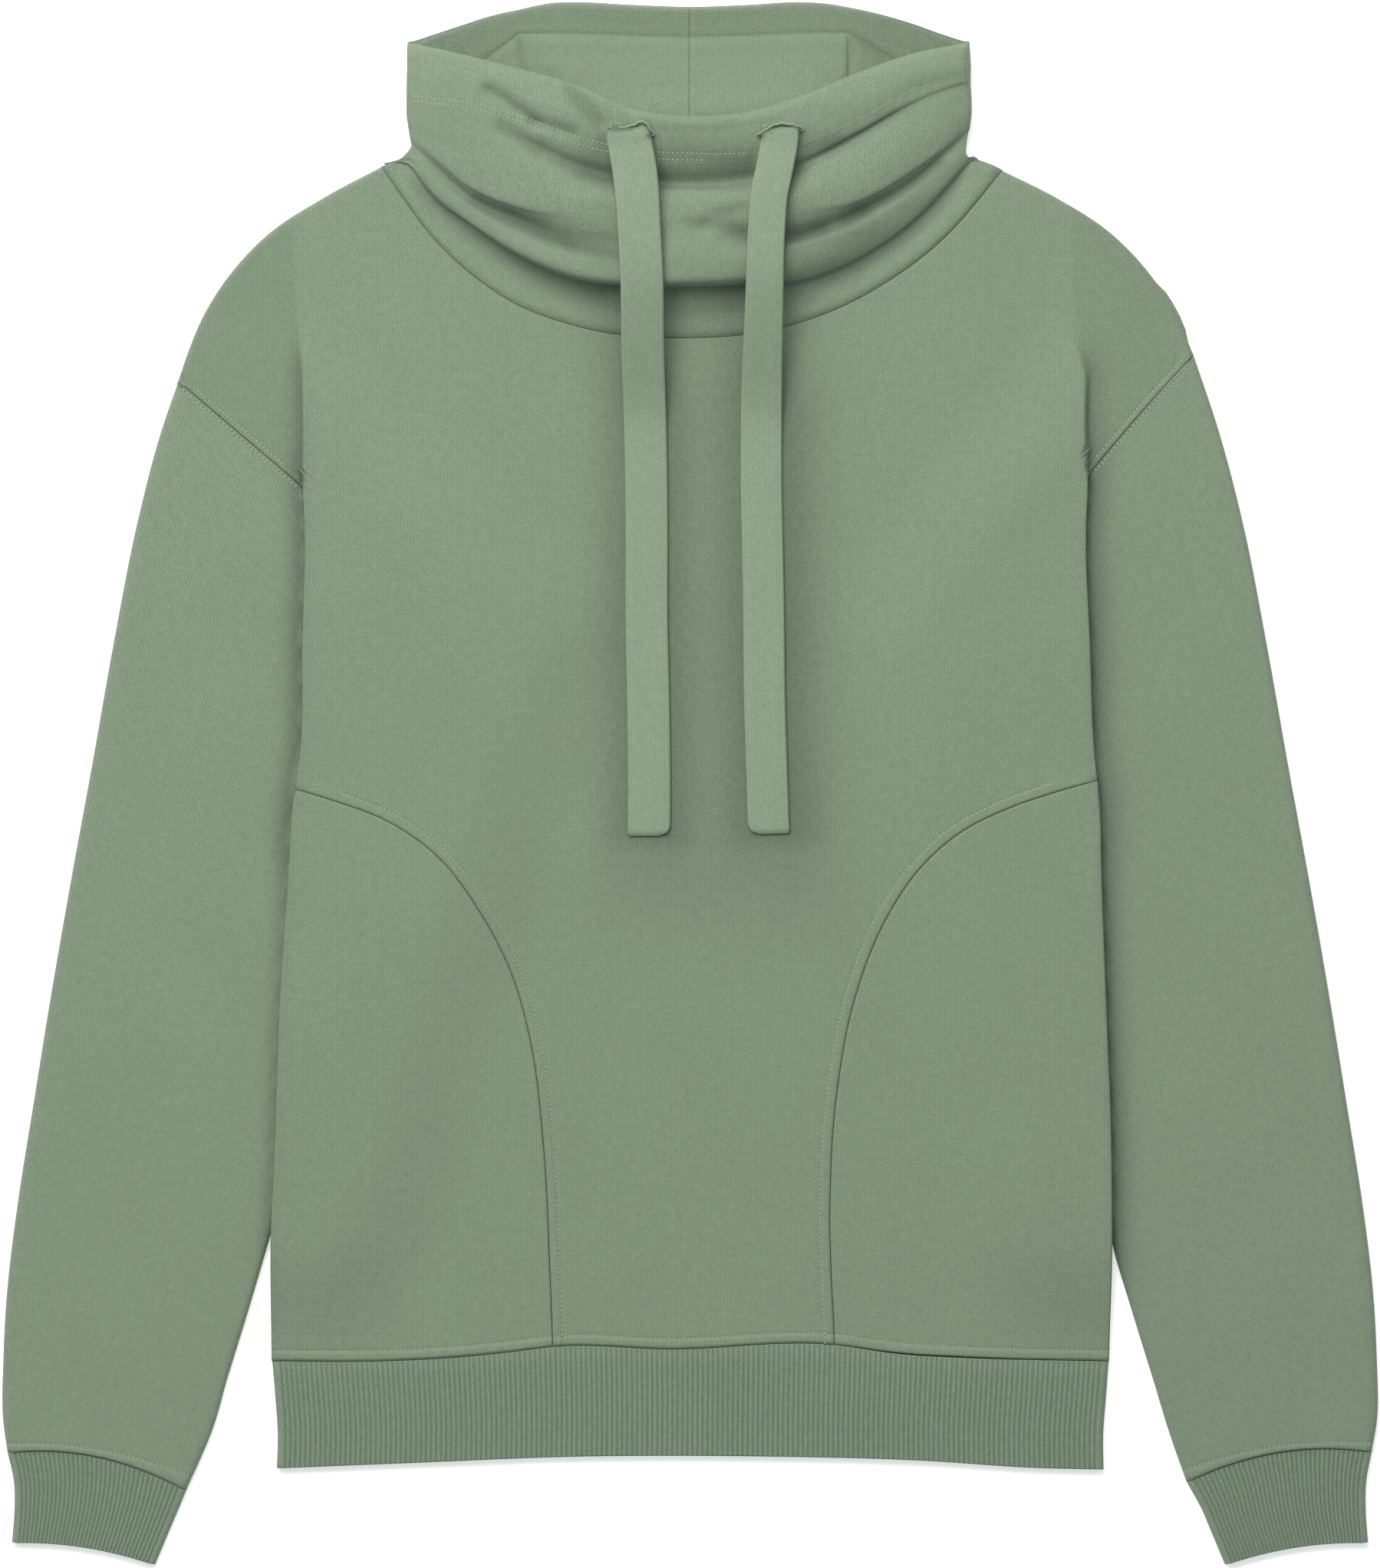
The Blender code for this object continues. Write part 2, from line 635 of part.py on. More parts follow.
def make_sleeve(side, name):
    """One sleeve, a flattened tube from the armhole to the cuff seam."""
    lines = [armhole_line(side, SLEEVE_STEPS) + (side * 1.5 * SEAM_GAP, -1.5 * SEAM_GAP)]
    underarm = np.array(UNDERARM[side])
    shows = np.array(SLEEVE_SHOWS[side])
    for outer_x, outer_y, share in SLEEVE_UPPER_ROWS:
        hidden = underarm + (shows - underarm) * share
        bow = ARMHOLE_BOW[side] * max(0.0, 1 - share * 4)
        lines.append(bowed((side * outer_x, outer_y), hidden, bow, SLEEVE_STEPS))
    for outer_x, outer_y, inner_x, inner_y in SLEEVE_LOWER_ROWS:
        lines.append(bowed((side * outer_x, outer_y), (side * inner_x, inner_y), 0.0, SLEEVE_STEPS))
    outer_x, outer_y, inner_x, inner_y = CUFF_SEAM[side]
    lines.append(bowed((side * outer_x, outer_y), (side * inner_x, inner_y), CUFF_BOW, SLEEVE_STEPS))
    outer = [flat_ring(line, SLEEVE_HEIGHT, 0.0) for line in lines]
    inner = [flat_ring(line, SLEEVE_HEIGHT, WALL) for line in lines]
    wall(name, outer, inner, SAGE_FLEECE)


def make_cuff(side, name):
    """One ribbed cuff, a short flattened tube."""
    outer_x, outer_y, inner_x, inner_y = CUFF_SEAM[side]
    gap = 2 * SEAM_GAP
    start = (side * (outer_x - CUFF_INSET), outer_y - gap)
    lines = [bowed(start, (side * (inner_x + CUFF_INSET), inner_y - gap), CUFF_BOW, CUFF_STEPS)]
    for row_x, row_y, end_x, end_y, bow in CUFF_ROWS:
        lines.append(bowed((side * row_x, row_y), (side * end_x, end_y), bow, CUFF_STEPS))
    outer = [flat_ring(line, CUFF_HEIGHT, 0.0) for line in lines]
    inner = [flat_ring(line, CUFF_HEIGHT, WALL) for line in lines]
    wall(name, outer, inner, SAGE_RIB)


def make_hem():
    """The ribbed hem band, a flattened ring."""
    seam_x, seam_y = zip(*HEM_SEAM)
    edge_x, edge_y = zip(*HEM_EDGE)
    outer, inner = [], []
    for share, left, right in HEM_ROWS:
        x = np.linspace(left, right, HEM_STEPS)
        top = flow(seam_x, seam_y, x) - 2 * SEAM_GAP
        line = np.stack([x, top + (flow(edge_x, edge_y, x) - top) * share], axis=1)
        outer.append(flat_ring(line, HEM_HEIGHT, 0.0))
        inner.append(flat_ring(line, HEM_HEIGHT, WALL))
    wall("hem_rib", outer, inner, SAGE_RIB)


def collar_front(across):
    """Rings of the outer face of the collar's front, from the seam to the rim."""
    rings = [np.column_stack([neck_line(), np.full(len(across), COLLAR_SEAM_HEIGHT)])]
    for _, left, right, ys, heights in COLLAR_ROWS:
        x = (left + right) / 2 + (right - left) / 2 * across
        y = flow(COLLAR_STATIONS, ys, across)
        z = flow(COLLAR_STATIONS, heights, across)
        rings.append(np.stack([x, y, z], axis=1))
    return rings


def back_row_y(side_y, share, across):
    """y across the back of the collar, on the ring that is a share of the way from seam to rim."""
    stations, rises = zip(*BACK_RIM_RISE)
    rise = flow(stations, rises, np.abs(across))
    drop = -BACK_NECK_DROP * (1 - across * across)
    return side_y + drop * (1 - share) + rise * share


def back_inner_height(x, y):
    """Upper face of the back of the collar: its lower part stands proud under a ledge."""
    at_top = soft((LEDGE_Y - y) / LEDGE_STEP + 0.5)
    at_ends = soft((LEDGE_HALF - np.abs(x - LEDGE_MIDDLE)) / LEDGE_FADE)
    ledge = at_top * at_ends
    low = soft((y - LEDGE_FOOT) / LEDGE_FOOT_FADE)
    return COLLAR_WALL + (LEDGE_HEIGHT - COLLAR_WALL) * ledge * low


def make_collar():
    """The funnel neck: rolls at the front, flat at the back, open at the neck and at the rim."""
    across = np.linspace(-1.0, 1.0, COLLAR_STEPS)
    back_across = np.linspace(BACK_HALF, -BACK_HALF, BACK_NECK_STEPS)
    front = collar_front(across)
    count = len(front)
    outer = []
    for number, ring in enumerate(front):
        share = number / (count - 1)
        left, right = ring[0], ring[-1]
        side_y = left[1] + (right[1] - left[1]) * (back_across + 1) / 2
        y = back_row_y(side_y, share, back_across)
        middle_x = (left[0] + right[0]) / 2
        x = middle_x + (right[0] - left[0]) / 2 * back_across
        turn_right = (right[0], right[1], right[2] * COLLAR_TURN)
        turn_left = (left[0], left[1], left[2] * COLLAR_TURN)
        back = list(zip(x, y, np.zeros_like(x)))
        outer.append([tuple(p) for p in ring] + [turn_right] + back + [turn_left])
    inner = []
    seam, rim = front[0], front[-1]
    for share, height in COLLAR_INNER_ROWS:
        line = seam + (rim - seam) * share
        x = line[:, 0] * (1 - COLLAR_WALL / COLLAR_HALF)
        z = COLLAR_WALL + INNER_CLEAR + (height - COLLAR_WALL) * (1 - np.abs(across) ** COLLAR_SQUARE)
        if share == 0.0:
            z = np.full(len(x), COLLAR_SEAM_HEIGHT - COLLAR_WALL)
        y = line[:, 1] + (0.0 if share in (0.0, 1.0) else INNER_SHIFT)
        left, right = x[0], x[-1]
        side_y = line[0, 1] + (line[-1, 1] - line[0, 1]) * (back_across + 1) / 2
        back_y = back_row_y(side_y, share, back_across)
        back_x = (left + right) / 2 + (right - left) / 2 * back_across * BACK_INSIDE
        back_z = back_inner_height(back_x, back_y)
        turn_right = (right, line[-1, 1], min(z[-1], COLLAR_TURN_INSIDE))
        turn_left = (left, line[0, 1], min(z[0], COLLAR_TURN_INSIDE))
        ring = list(zip(x, y, z)) + [turn_right] + list(zip(back_x, back_y, back_z)) + [turn_left]
        inner.append(ring)
    wall("collar", outer, inner, SAGE_FLEECE)


def make_cord(side, name):
    """A flat drawcord from its slit in the casing to its free end."""
    route = run(CORD_ROUTES[side], CORD_STEP)
    ahead = np.gradient(route, axis=0)
    ahead /= np.linalg.norm(ahead, axis=1)[:, None]
    rings = []
    for (x, y, z), (_, dy, dz) in zip(route, ahead):
        up = np.array([0.0, -dz, dy]) * (-1 if dy < 0 else 1)
        half = CORD_THICK / 2
        corners = []
        for across, lift in ((-1, -1), (1, -1), (1, 1), (-1, 1)):
            corners.append(np.array([x + across * CORD_WIDTH / 2, y, z]) + up * half * lift)
        rings.append(corners)
    builder = bmesh.new()
    loops = [[builder.verts.new(corner) for corner in ring] for ring in rings]
    for first, second in zip(loops, loops[1:]):
        for i in range(4):
            j = (i + 1) % 4
            builder.faces.new([first[i], first[j], second[j], second[i]])
    builder.faces.new(loops[0][::-1])
    builder.faces.new(loops[-1])
    bmesh.ops.recalc_face_normals(builder, faces=builder.faces)
    make_object(name, builder, SAGE_CORD)


def main():
    """Clear the scene and make every piece of the sweatshirt."""
    for old in list(bpy.data.objects):
        bpy.data.objects.remove(old, do_unlink=True)
    make_back()
    make_front()
    for side, word in ((-1, "left"), (1, "right")):
        make_sleeve(side, f"sleeve_{word}")
        make_cuff(side, f"cuff_{word}")
    make_hem()
    make_collar()
    for side, word in ((-1, "left"), (1, "right")):
        make_cord(side, f"drawcord_{word}")


main()
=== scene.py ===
import math

import bmesh
import bpy
import numpy as np
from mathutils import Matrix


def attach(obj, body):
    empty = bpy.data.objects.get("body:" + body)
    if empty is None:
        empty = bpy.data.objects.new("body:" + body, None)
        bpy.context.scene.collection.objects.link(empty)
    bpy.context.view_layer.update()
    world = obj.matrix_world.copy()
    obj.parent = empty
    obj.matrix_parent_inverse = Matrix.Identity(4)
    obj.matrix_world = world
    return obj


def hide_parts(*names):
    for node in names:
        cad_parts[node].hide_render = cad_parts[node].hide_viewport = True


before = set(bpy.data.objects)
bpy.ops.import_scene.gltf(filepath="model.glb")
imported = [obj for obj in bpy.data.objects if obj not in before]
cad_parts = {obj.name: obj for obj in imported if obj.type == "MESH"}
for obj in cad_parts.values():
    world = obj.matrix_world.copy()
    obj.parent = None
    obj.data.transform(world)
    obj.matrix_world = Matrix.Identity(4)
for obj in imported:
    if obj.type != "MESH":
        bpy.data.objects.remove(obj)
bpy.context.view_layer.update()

bl_info = {
    "name": "Funnel neck sweatshirt",
    "version": (1, 0, 0),
    "blender": (4, 5, 0),
    "location": "View3D > Sidebar > Sweatshirt",
    "description": "A funnel neck sweatshirt with flat drawcords, laid out flat with its front up",
    "category": "Object",
}

MM = 0.001

# All tables are in millimetres. x runs across the garment, y from the hem to the neck, z up from the surface.

# ---------------------------------------------------------------- body tables

WALL = 2.0             # one layer of brushed fleece, in the stack that the garment makes
LAYER_GAP = 1.3
TWO_LAYERS = WALL + LAYER_GAP + WALL
SLEEVE_HEIGHT = 6.6
SLEEVE_CLEAR = 0.8     # of the back over the sleeves
FRONT_CLEAR = 0.3      # more, of the front over the back there
CUFF_HEIGHT = 6.0
HEM_HEIGHT = 6.2
HEM_CORNER = -301.0    # y of the lower corners of the body
HEM_RISE = 64.0        # the body is flat at the hem seam, and is held up this far above it
RAMP = 62.0            # width of the slope where the body comes down off a sleeve
RAMP_START = 24.0      # how far short of the sleeve's edge the slope is at its top
FRONT_AHEAD = 4.0      # the front comes down this much further in than the back
FRONT_PAST = 16.0      # and this much further above the armhole
SLIT_PAST = 14.0       # how far the armhole's slit in the back goes on inside the underarm
TURN_START = math.radians(120.0)     # round the slit's end, where the back starts to come down
TURN_SPAN = math.radians(150.0)
FLANGE_TOP = 255.0     # outside the shoulder's fold the front is flat from here upwards
FLANGE_RISE = 60.0
FOLD_WIDTH = {-1: 1.6, 1: 2.4}
FOLD_WIDER = 26.0      # the fold fans out by this much, from its top to the shoulder seam
FOLD_FAN = (208.0, 52.0)       # y where it starts to fan out, and over how far
FOLD_AHEAD = 0.9       # the drop starts this far outside the fold
UNEVEN_FRONT = 0.35

SHOULDER = ((191.0, 306.0), (220.0, 287.0), (238.0, 268.5), (253.0, 246.0), (262.4, 224.0))
NECK_POINT = {-1: (-161.0, 322.0), 1: (163.0, 320.0)}
SHOULDER_TIP = {-1: (-267.0, 210.0), 1: (262.8, 223.5)}
FOLD_START = {-1: (-202.2, 155.0), 1: (207.6, 160.5)}
UNDERARM = {-1: (-119.5, 84.5), 1: (155.0, 91.0)}
ARMHOLE_BOW = {-1: 0.0, 1: 5.0}
SLEEVE_SHOWS = {-1: (-219.0, -236.0), 1: (220.0, -239.0)}
NECK_SEAM = (
    (-161.0, 322.0), (-135.0, 286.0), (-99.0, 255.0), (-58.0, 238.4), (-5.0, 232.6),
    (48.0, 238.0), (95.0, 257.0), (137.0, 289.0), (163.0, 320.0),
)
BACK_NECK_DROP = 11.0
BODY_SIDE = (
    # y, x of the left side, x of the right side
    (HEM_CORNER, -218.4, 218.6), (-236.0, -218.6, 220.2), (-188.0, -216.6, 219.8), (-111.0, -213.8, 217.0),
    (-52.0, -209.8, 214.8), (-2.0, -206.2, 213.0), (10.0, -204.2, 211.6), (75.0, -202.2, 208.6),
    (130.0, -201.0, 206.6), (158.0, -202.0, 207.6), (190.0, -202.0, 206.9), (218.0, -202.8, 206.9),
    (235.0, -204.0, 204.2), (255.0, -206.0, 199.5),
)
CURVED_SEAM = {
    # from the hem up to the side of the body
    -1: (
        (-71.5, -293.5), (-73.0, -253.0), (-76.3, -189.0), (-83.0, -135.0), (-92.2, -101.0),
        (-110.0, -66.0), (-131.0, -38.4), (-160.0, -18.3), (-183.0, -9.7), (-206.0, -2.5),
    ),
    1: (
        (75.4, -292.5), (73.0, -220.0), (76.2, -165.0), (86.6, -110.0), (101.0, -73.0),
        (120.0, -44.0), (140.0, -26.0), (164.0, -13.6), (189.0, -4.8), (212.8, 2.0),
    ),
}
HEM_SEAM = (
    (-219.0, -301.0), (-160.0, -301.0), (-91.0, -296.0), (-71.5, -293.5), (-10.0, -294.8),
    (75.4, -292.5), (107.0, -297.0), (150.0, -299.5), (219.0, -301.0),
)
HEM_EDGE = (
    (-216.0, -357.0), (-151.0, -354.4), (-56.0, -350.8), (40.0, -350.8), (118.0, -352.8),
    (182.0, -356.8), (216.0, -357.6),
)
HEM_ENDS = (
    # share of the way from the seam to the edge, x of the left end, x of the right end
    (0.0, -218.0, 218.4), (0.3, -216.6, 217.2), (0.68, -215.2, 215.6), (1.0, -215.6, 215.8),
)
MIDDLE_OF_ROW = (
    # y of a row of the front at the sides, and its y in the middle
    (-293.0, -294.8), (-285.0, -286.6), (-253.0, -254.4), (-189.0, -191.0), (-101.0, -107.0),
    (-66.0, -77.0), (-38.0, -52.0), (-18.0, -31.0), (-9.0, -19.0), (0.0, -8.0), (75.0, 58.0),
    (158.0, 128.0), (217.0, 165.0), (268.0, 196.0), (306.0, 222.0), (321.0, 232.6),
)

# ---------------------------------------------------------------- sleeve and cuff tables

SLEEVE_UPPER_ROWS = (
    # x and y of the outer edge, share of the hidden inner edge
    (275.5, 185.5, 0.07), (288.5, 136.0, 0.17), (300.5, 75.0, 0.3), (312.2, 9.0, 0.45),
    (323.0, -50.0, 0.59), (333.6, -111.0, 0.72), (342.8, -168.0, 0.86), (351.0, -220.0, 1.0),
)
SLEEVE_LOWER_ROWS = (
    # x and y of the outer edge, x and y of the inner edge, bow
    (356.3, -264.0, 230.5, -275.0, 0.0), (358.3, -300.0, 241.0, -309.0, 0.0),
    (358.4, -332.0, 251.5, -343.0, 0.0),
)
CUFF_SEAM = {-1: (356.2, -348.2, 262.6, -368.0, 7.0), 1: (355.8, -347.8, 258.8, -363.6, 7.0)}
CUFF_ROWS = (
    (352.8, -364.0, 266.5, -377.5, 5.5), (352.6, -380.0, 271.0, -388.0, 4.0),
    (353.8, -395.5, 279.0, -407.1, 3.0),
)
TUBE_COLUMNS = 34      # across one face of a sleeve
END_COLUMNS = 7        # round one edge of a sleeve, cuff or hem

# ---------------------------------------------------------------- collar tables

COLLAR_X = (-147, -133, -118, -88, -59, -29, 0, 29, 59, 88, 118, 133, 147)
COLLAR_LINES = (
    # name, y at each x above, height at each x above
    ("base", (324.6, 300, 284, 264, 252.4, 248, 247, 249, 255.6, 268, 287.5, 302, 324.4),
     (5.6, 6.0, 6.3, 6.8, 7.4, 7.9, 8.1, 7.9, 7.4, 6.8, 6.3, 6.0, 5.6)),
    ("lower tuck", (323.6, 305.6, 294.8, 275.2, 263.2, 259.6, 259.6, 260.6, 263.4, 275, 295.8, 310.2, 325.8),
     (6.0, 7.8, 9.0, 10.8, 12.6, 13.8, 14.2, 13.8, 12.6, 11.0, 9.0, 7.8, 6.0)),
    ("lower edge", (324.2, 305.8, 294.4, 274.6, 262.8, 259.2, 259.2, 260.2, 263, 274.6, 295.6, 310.8, 327.2),
     (6.6, 10.4, 12.6, 16.6, 20.0, 21.4, 21.2, 19.6, 16.2, 13.4, 11.8, 10.2, 6.6)),
    ("lower brow", (325.8, 307.4, 295.6, 276.4, 264.8, 261.2, 261.4, 263.2, 268.4, 280, 300, 313.4, 329),
     (7.2, 12.6, 15.4, 21.4, 26.0, 27.8, 28.0, 26.6, 22.6, 18.4, 14.8, 12.2, 7.4)),
    ("lower crest", (328.6, 313.4, 302.5, 284, 273.2, 269.6, 270, 272.6, 279.5, 290, 308.5, 320, 331.6),
     (7.6, 13.2, 16.4, 22.6, 27.6, 30.0, 30.4, 29.6, 27.0, 23.0, 17, 13.4, 7.8)),
    ("upper tuck", (335.4, 322.6, 308.8, 294.5, 284, 282, 291.5, 287.5, 287.5, 298.6, 316, 329.4, 341.6),
     (7.4, 11.4, 13, 16.4, 22, 26.6, 30.2, 26.4, 21.4, 17, 13, 11.2, 7.6)),
    ("upper edge", (336.8, 325, 312.4, 298.8, 292, 289, 295.5, 294.5, 295.2, 302.6, 320, 331.2, 343.6),
     (8.0, 13.6, 17, 22, 26, 28.6, 30.2, 28.4, 25.8, 22, 17, 13.8, 8.6)),
    ("upper brow", (338.6, 327, 314.4, 301.2, 297.5, 296, 299.5, 299, 300.2, 305, 322.2, 333.2, 345.4),
     (8.6, 15.2, 19, 24.8, 28.2, 29.6, 29.9, 29.4, 27.9, 24.8, 19, 15.6, 9.8)),
    ("upper crest", (342, 335.4, 327.5, 314.5, 306.5, 303, 304, 304.2, 308, 317.4, 334, 343.4, 350.6),
     (9, 16.4, 20.4, 26.2, 29, 29.6, 29.2, 29.2, 28.6, 26.4, 20.8, 17.4, 12)),
    ("upper slope", (345, 341.2, 337.5, 325, 314, 308.6, 308.6, 308.6, 315.5, 330, 346.5, 353, 357.4),
     (9.8, 17.4, 21.4, 26.6, 26.6, 26.4, 27.0, 26.6, 26.4, 23.8, 19.6, 17.2, 13)),
    ("valley", (348, 346.2, 344, 335, 322, 314.8, 312.6, 315, 323, 338.2, 354.6, 361, 365.2),
     (10, 17.8, 21.8, 25.4, 21.6, 19.4, 19.8, 20.2, 21.8, 19.8, 18.2, 16.8, 14)),
    ("casing foot", (353, 351.4, 349.5, 339.5, 327.4, 321, 319.2, 321, 326.6, 340.4, 357, 363, 366.8),
     (10.6, 18.2, 22, 26.2, 25.2, 23.4, 23.4, 23.6, 25.4, 22.8, 19.3, 17.8, 15.4)),
    ("casing seam", (357, 355.8, 354, 346, 335, 328.4, 326.4, 326.8, 333, 345.4, 361.6, 366.6, 368.6),
     (11, 18.4, 22, 26.8, 28.2, 27.4, 27.2, 27.4, 27.6, 23.8, 20, 18.4, 16)),
    ("casing crest", (372, 370.4, 368, 359.5, 350, 341, 338.5, 340.5, 348, 359.5, 371.5, 375, 377),
     (11.2, 18.2, 21.2, 27, 30.2, 31.0, 31.2, 31.0, 29.0, 24.4, 20.6, 19.2, 17.4)),
    ("rim ridge", (384.5, 381.6, 378, 370, 361.5, 348.6, 344.8, 347, 356.4, 368.6, 379, 382.2, 384.8),
     (9.6, 15.2, 18.4, 23.6, 28, 30.6, 31, 30.6, 27.2, 21.8, 18.2, 17, 15)),
    ("rim", (386.6, 383.6, 380, 372.3, 363.9, 351.4, 347.6, 349.8, 358.7, 370.7, 381, 384.2, 386.9),
     (7, 13, 16.4, 21.8, 26, 28, 28, 28, 25.2, 19.8, 16.2, 15, 12)),
)
COLLAR_SIDE = {
    # y, x of the side of the neck
    -1: (
        (322.0, -161.0), (324.2, -157.4), (324.6, -154.4), (325.4, -152.4), (326.8, -150.6),
        (328.8, -147.8), (329.8, -145.5), (332.6, -144.9), (335.0, -144.7), (341.8, -146.0),
        (348.8, -147.4), (357.0, -147.6), (372.0, -147.6), (386.6, -147.6),
    ),
    1: (
        (320.0, 163.0), (322.2, 160.6), (324.0, 156.0), (324.9, 151.9), (326.5, 149.6), (328.1, 147.2),
        (329.5, 144.4), (333.8, 143.5), (336.6, 143.8), (340.8, 144.2), (344.8, 145.3), (348.8, 146.2),
        (366.0, 146.2), (376.0, 146.5), (386.9, 146.6),
    ),
}
BACK_X = (-147, -130, -118, -105, -89, -72, -60, -30, 0, 30, 56, 70, 83, 104, 118, 131, 147)
BACK_RIM = (
    386.6, 392.2, 396.2, 400.4, 404.1, 407.5, 407.9, 406.5, 405.5, 406.5, 407.9, 407.3, 405.2, 400.3, 396,
    391.3, 386.2,
)
LEDGE = (
    352, 361, 369, 378.4, 391, 391, 390.8, 389.8, 388.9, 389.8, 391.1, 391.3, 391.2, 378.4, 369, 361, 352,
)
LEDGE_RISE = (0.0, 0.05, 0.1, 0.3, 0.95, 1.0, 1.0, 1.0, 1.0, 1.0, 1.0, 1.0, 0.95, 0.3, 0.1, 0.05, 0.0)
BACK_LINES = (
    # share of the way from the ledge to the rim (1 is the rim, below 0 in millimetres under the
    # ledge), height where the ledge is proud, height where it isn't, share on the hidden front
    ("rim top", 0.9, 7.0, 4.4, 0.995),
    ("band", 0.45, 6.2, 4.0, 0.93),
    ("band edge", 0.1, 5.6, 4.0, 0.88),
    ("ledge foot", 0.03, 5.3, 3.6, 0.86),
    ("ledge edge", -0.3, 5.9, 4.0, 0.84),
    ("ledge top", -1.9, 7.1, 4.3, 0.82),
    ("upper panel", -9.0, 8.4, 4.4, 0.72),
    ("middle panel", -25.0, 12.0, 4.4, 0.55),
    ("lower panel", -45.0, 17.0, 4.4, 0.4),
    ("foot of panel", -60.0, 9.0, 4.0, 0.2),
)
INNER_HEIGHTS = ((0.0, 3.2), (0.15, 3.6), (0.3, 8.0), (0.42, 17.0), (0.55, 19.5), (0.75, 20.0), (0.9, 22.5),
                 (1.0, 25.0))
COLLAR_CREASES = (
    # x and y of its two ends, width, depth
    (-104.0, 360.4, -80.6, 344.4, 3.6, 2.2),
    (-80.6, 344.4, -62.0, 338.6, 3.0, 1.4),
    (-61.6, 360.4, -46.2, 343.6, 3.4, 2.6),
    (-97.0, 342.2, -78.0, 329.6, 5.0, 1.6),
    (26.0, 299.0, 6.0, 290.0, 5.0, 1.8),
    (52.0, 324.0, 58.0, 318.0, 4.0, 1.2),
)

PAINTED_FOLD_BANDS = (
    # amount and width of the soft painted shade along a fold, then x and y of points on it
    (0.34, 4.6, (-112, 305), (-104, 300), (-90, 293.5), (-75, 286.5), (-60, 281), (-48, 277.6), (-36, 275)),
    (0.16, 3.6, (-94, 297.6), (-88, 294), (-75, 287), (-62, 280.4)),
    (0.16, 3.4, (-3, 293.6), (6, 292.6), (16, 290.4)),
    (0.34, 5.2, (22, 289.6), (30, 286.6), (42, 285), (56, 287), (68, 290)),
    (0.30, 4.6, (56, 285), (68, 289), (80, 292), (90, 298)),
    (0.30, 3.4, (80, 293.4), (92, 298.6), (105, 305.6), (118, 314), (130, 324)),
    (0.14, 3.0, (60, 332), (68, 334), (80, 339.5), (92, 344.5), (105, 351)),
    (0.20, 3.0, (60, 329), (68, 332.6), (76, 336)),
    (0.12, 3.4, (-22, 344.4), (0, 342.8), (22, 344.2)),
    (0.13, 4.2, (-52, 328), (-40, 327.6), (-8, 327), (16, 327), (30, 327)),
    (0.18, 5.0, (-140, 311), (-134, 304.4), (-128, 300), (-120, 292.6), (-105, 282), (-90, 273), (-75, 264.5),
     (-60, 260), (-48, 257)),
    (0.18, 4.4, (-97, 342), (-87.7, 337), (-75, 330), (-60, 323)),
    (0.30, 5.4, (-54, 319), (-46, 316.6), (-38, 315)),
    (0.22, 5.0, (-34, 318.6), (-8, 318), (4, 317.6), (16, 318), (28, 318.6)),
    (0.08, 3.6, (72, 331), (80, 335), (92, 341), (105, 349), (114, 354.4)),
    (0.10, 3.2, (-135, 324), (-120, 310)),
    (0.22, 3.2, (-106, 364), (-95, 358), (-87.7, 352.5), (-80.4, 346.4), (-71, 344), (-60, 340.7)),
    (0.20, 3.4, (-60.5, 357), (-50, 347), (-46.4, 340), (-46, 336)),
)
PAINTED_INSIDE_BANDS = (
    # amount and width of the painted shade along a fold inside the back of the collar, then x and y of points
    # on it
    (0.16, 2.4, (-89, 388), (-86, 364)),
    (0.16, 2.2, (84, 389), (81, 366)),
    (0.16, 3.2, (90, 387), (94, 383), (101, 379)),
    (0.10, 3.4, (-80, 374), (-70, 369)),
)

# ---------------------------------------------------------------- drawcord tables

CORD_ROUTES = {
    -1: (
        (-32.4, 341.5, 33.2), (-31.0, 332.0, 34.0), (-28.9, 320.0, 34.8), (-27.4, 306.0, 35.8),
        (-26.4, 290.0, 35.8), (-25.6, 275.0, 35.2), (-25.0, 262.0, 33.0), (-24.8, 250.0, 29.4),
        (-24.7, 236.0, 24.4), (-24.4, 220.0, 18.2), (-23.9, 205.0, 12.4), (-23.5, 192.0, 8.6),
        (-23.2, 180.0, 7.1), (-22.8, 160.0, 6.6), (-22.6, 125.0, 6.6), (-22.6, 85.0, 6.7),
        (-21.8, 45.0, 6.7), (-21.3, 8.0, 6.7), (-21.3, -27.0, 6.7),
    ),
    1: (
        (47.4, 341.5, 31.8), (46.2, 332.0, 33.0), (43.9, 320.0, 34.4), (41.1, 306.0, 35.4),
        (39.9, 290.0, 35.2), (39.2, 275.0, 34.6), (38.9, 262.0, 32.4), (38.6, 250.0, 28.8),
        (38.2, 236.0, 23.8), (37.7, 220.0, 17.6), (37.4, 205.0, 12.0), (37.2, 192.0, 8.4),
        (37.2, 180.0, 7.0), (37.2, 160.0, 6.6), (37.8, 125.0, 6.6), (38.5, 85.0, 6.7),
        (38.9, 45.0, 6.7), (40.0, 8.0, 6.7), (41.2, -26.0, 6.7),
    ),
}
SLIT_LIPS = {
    -1: ((-42.8, 341.9), (-41.6, 341.4), (-39.2, 341.3), (-35.3, 341.4), (-31.4, 341.9), (-28.5, 343.0),
         (-26.4, 344.0), (-24.2, 344.4), (-22.8, 343.4), (-21.4, 341.6), (-19.9, 339.5), (-18.6, 337.7),
         (-20.9, 337.1)),
    1: ((36.6, 336.8), (34.8, 337.3), (36.2, 338.3), (39.0, 339.9), (41.5, 341.5), (44.0, 342.7),
        (47.2, 343.4), (52.2, 342.9), (55.8, 342.2), (58.4, 341.2), (58.9, 340.5), (57.0, 339.7)),
}

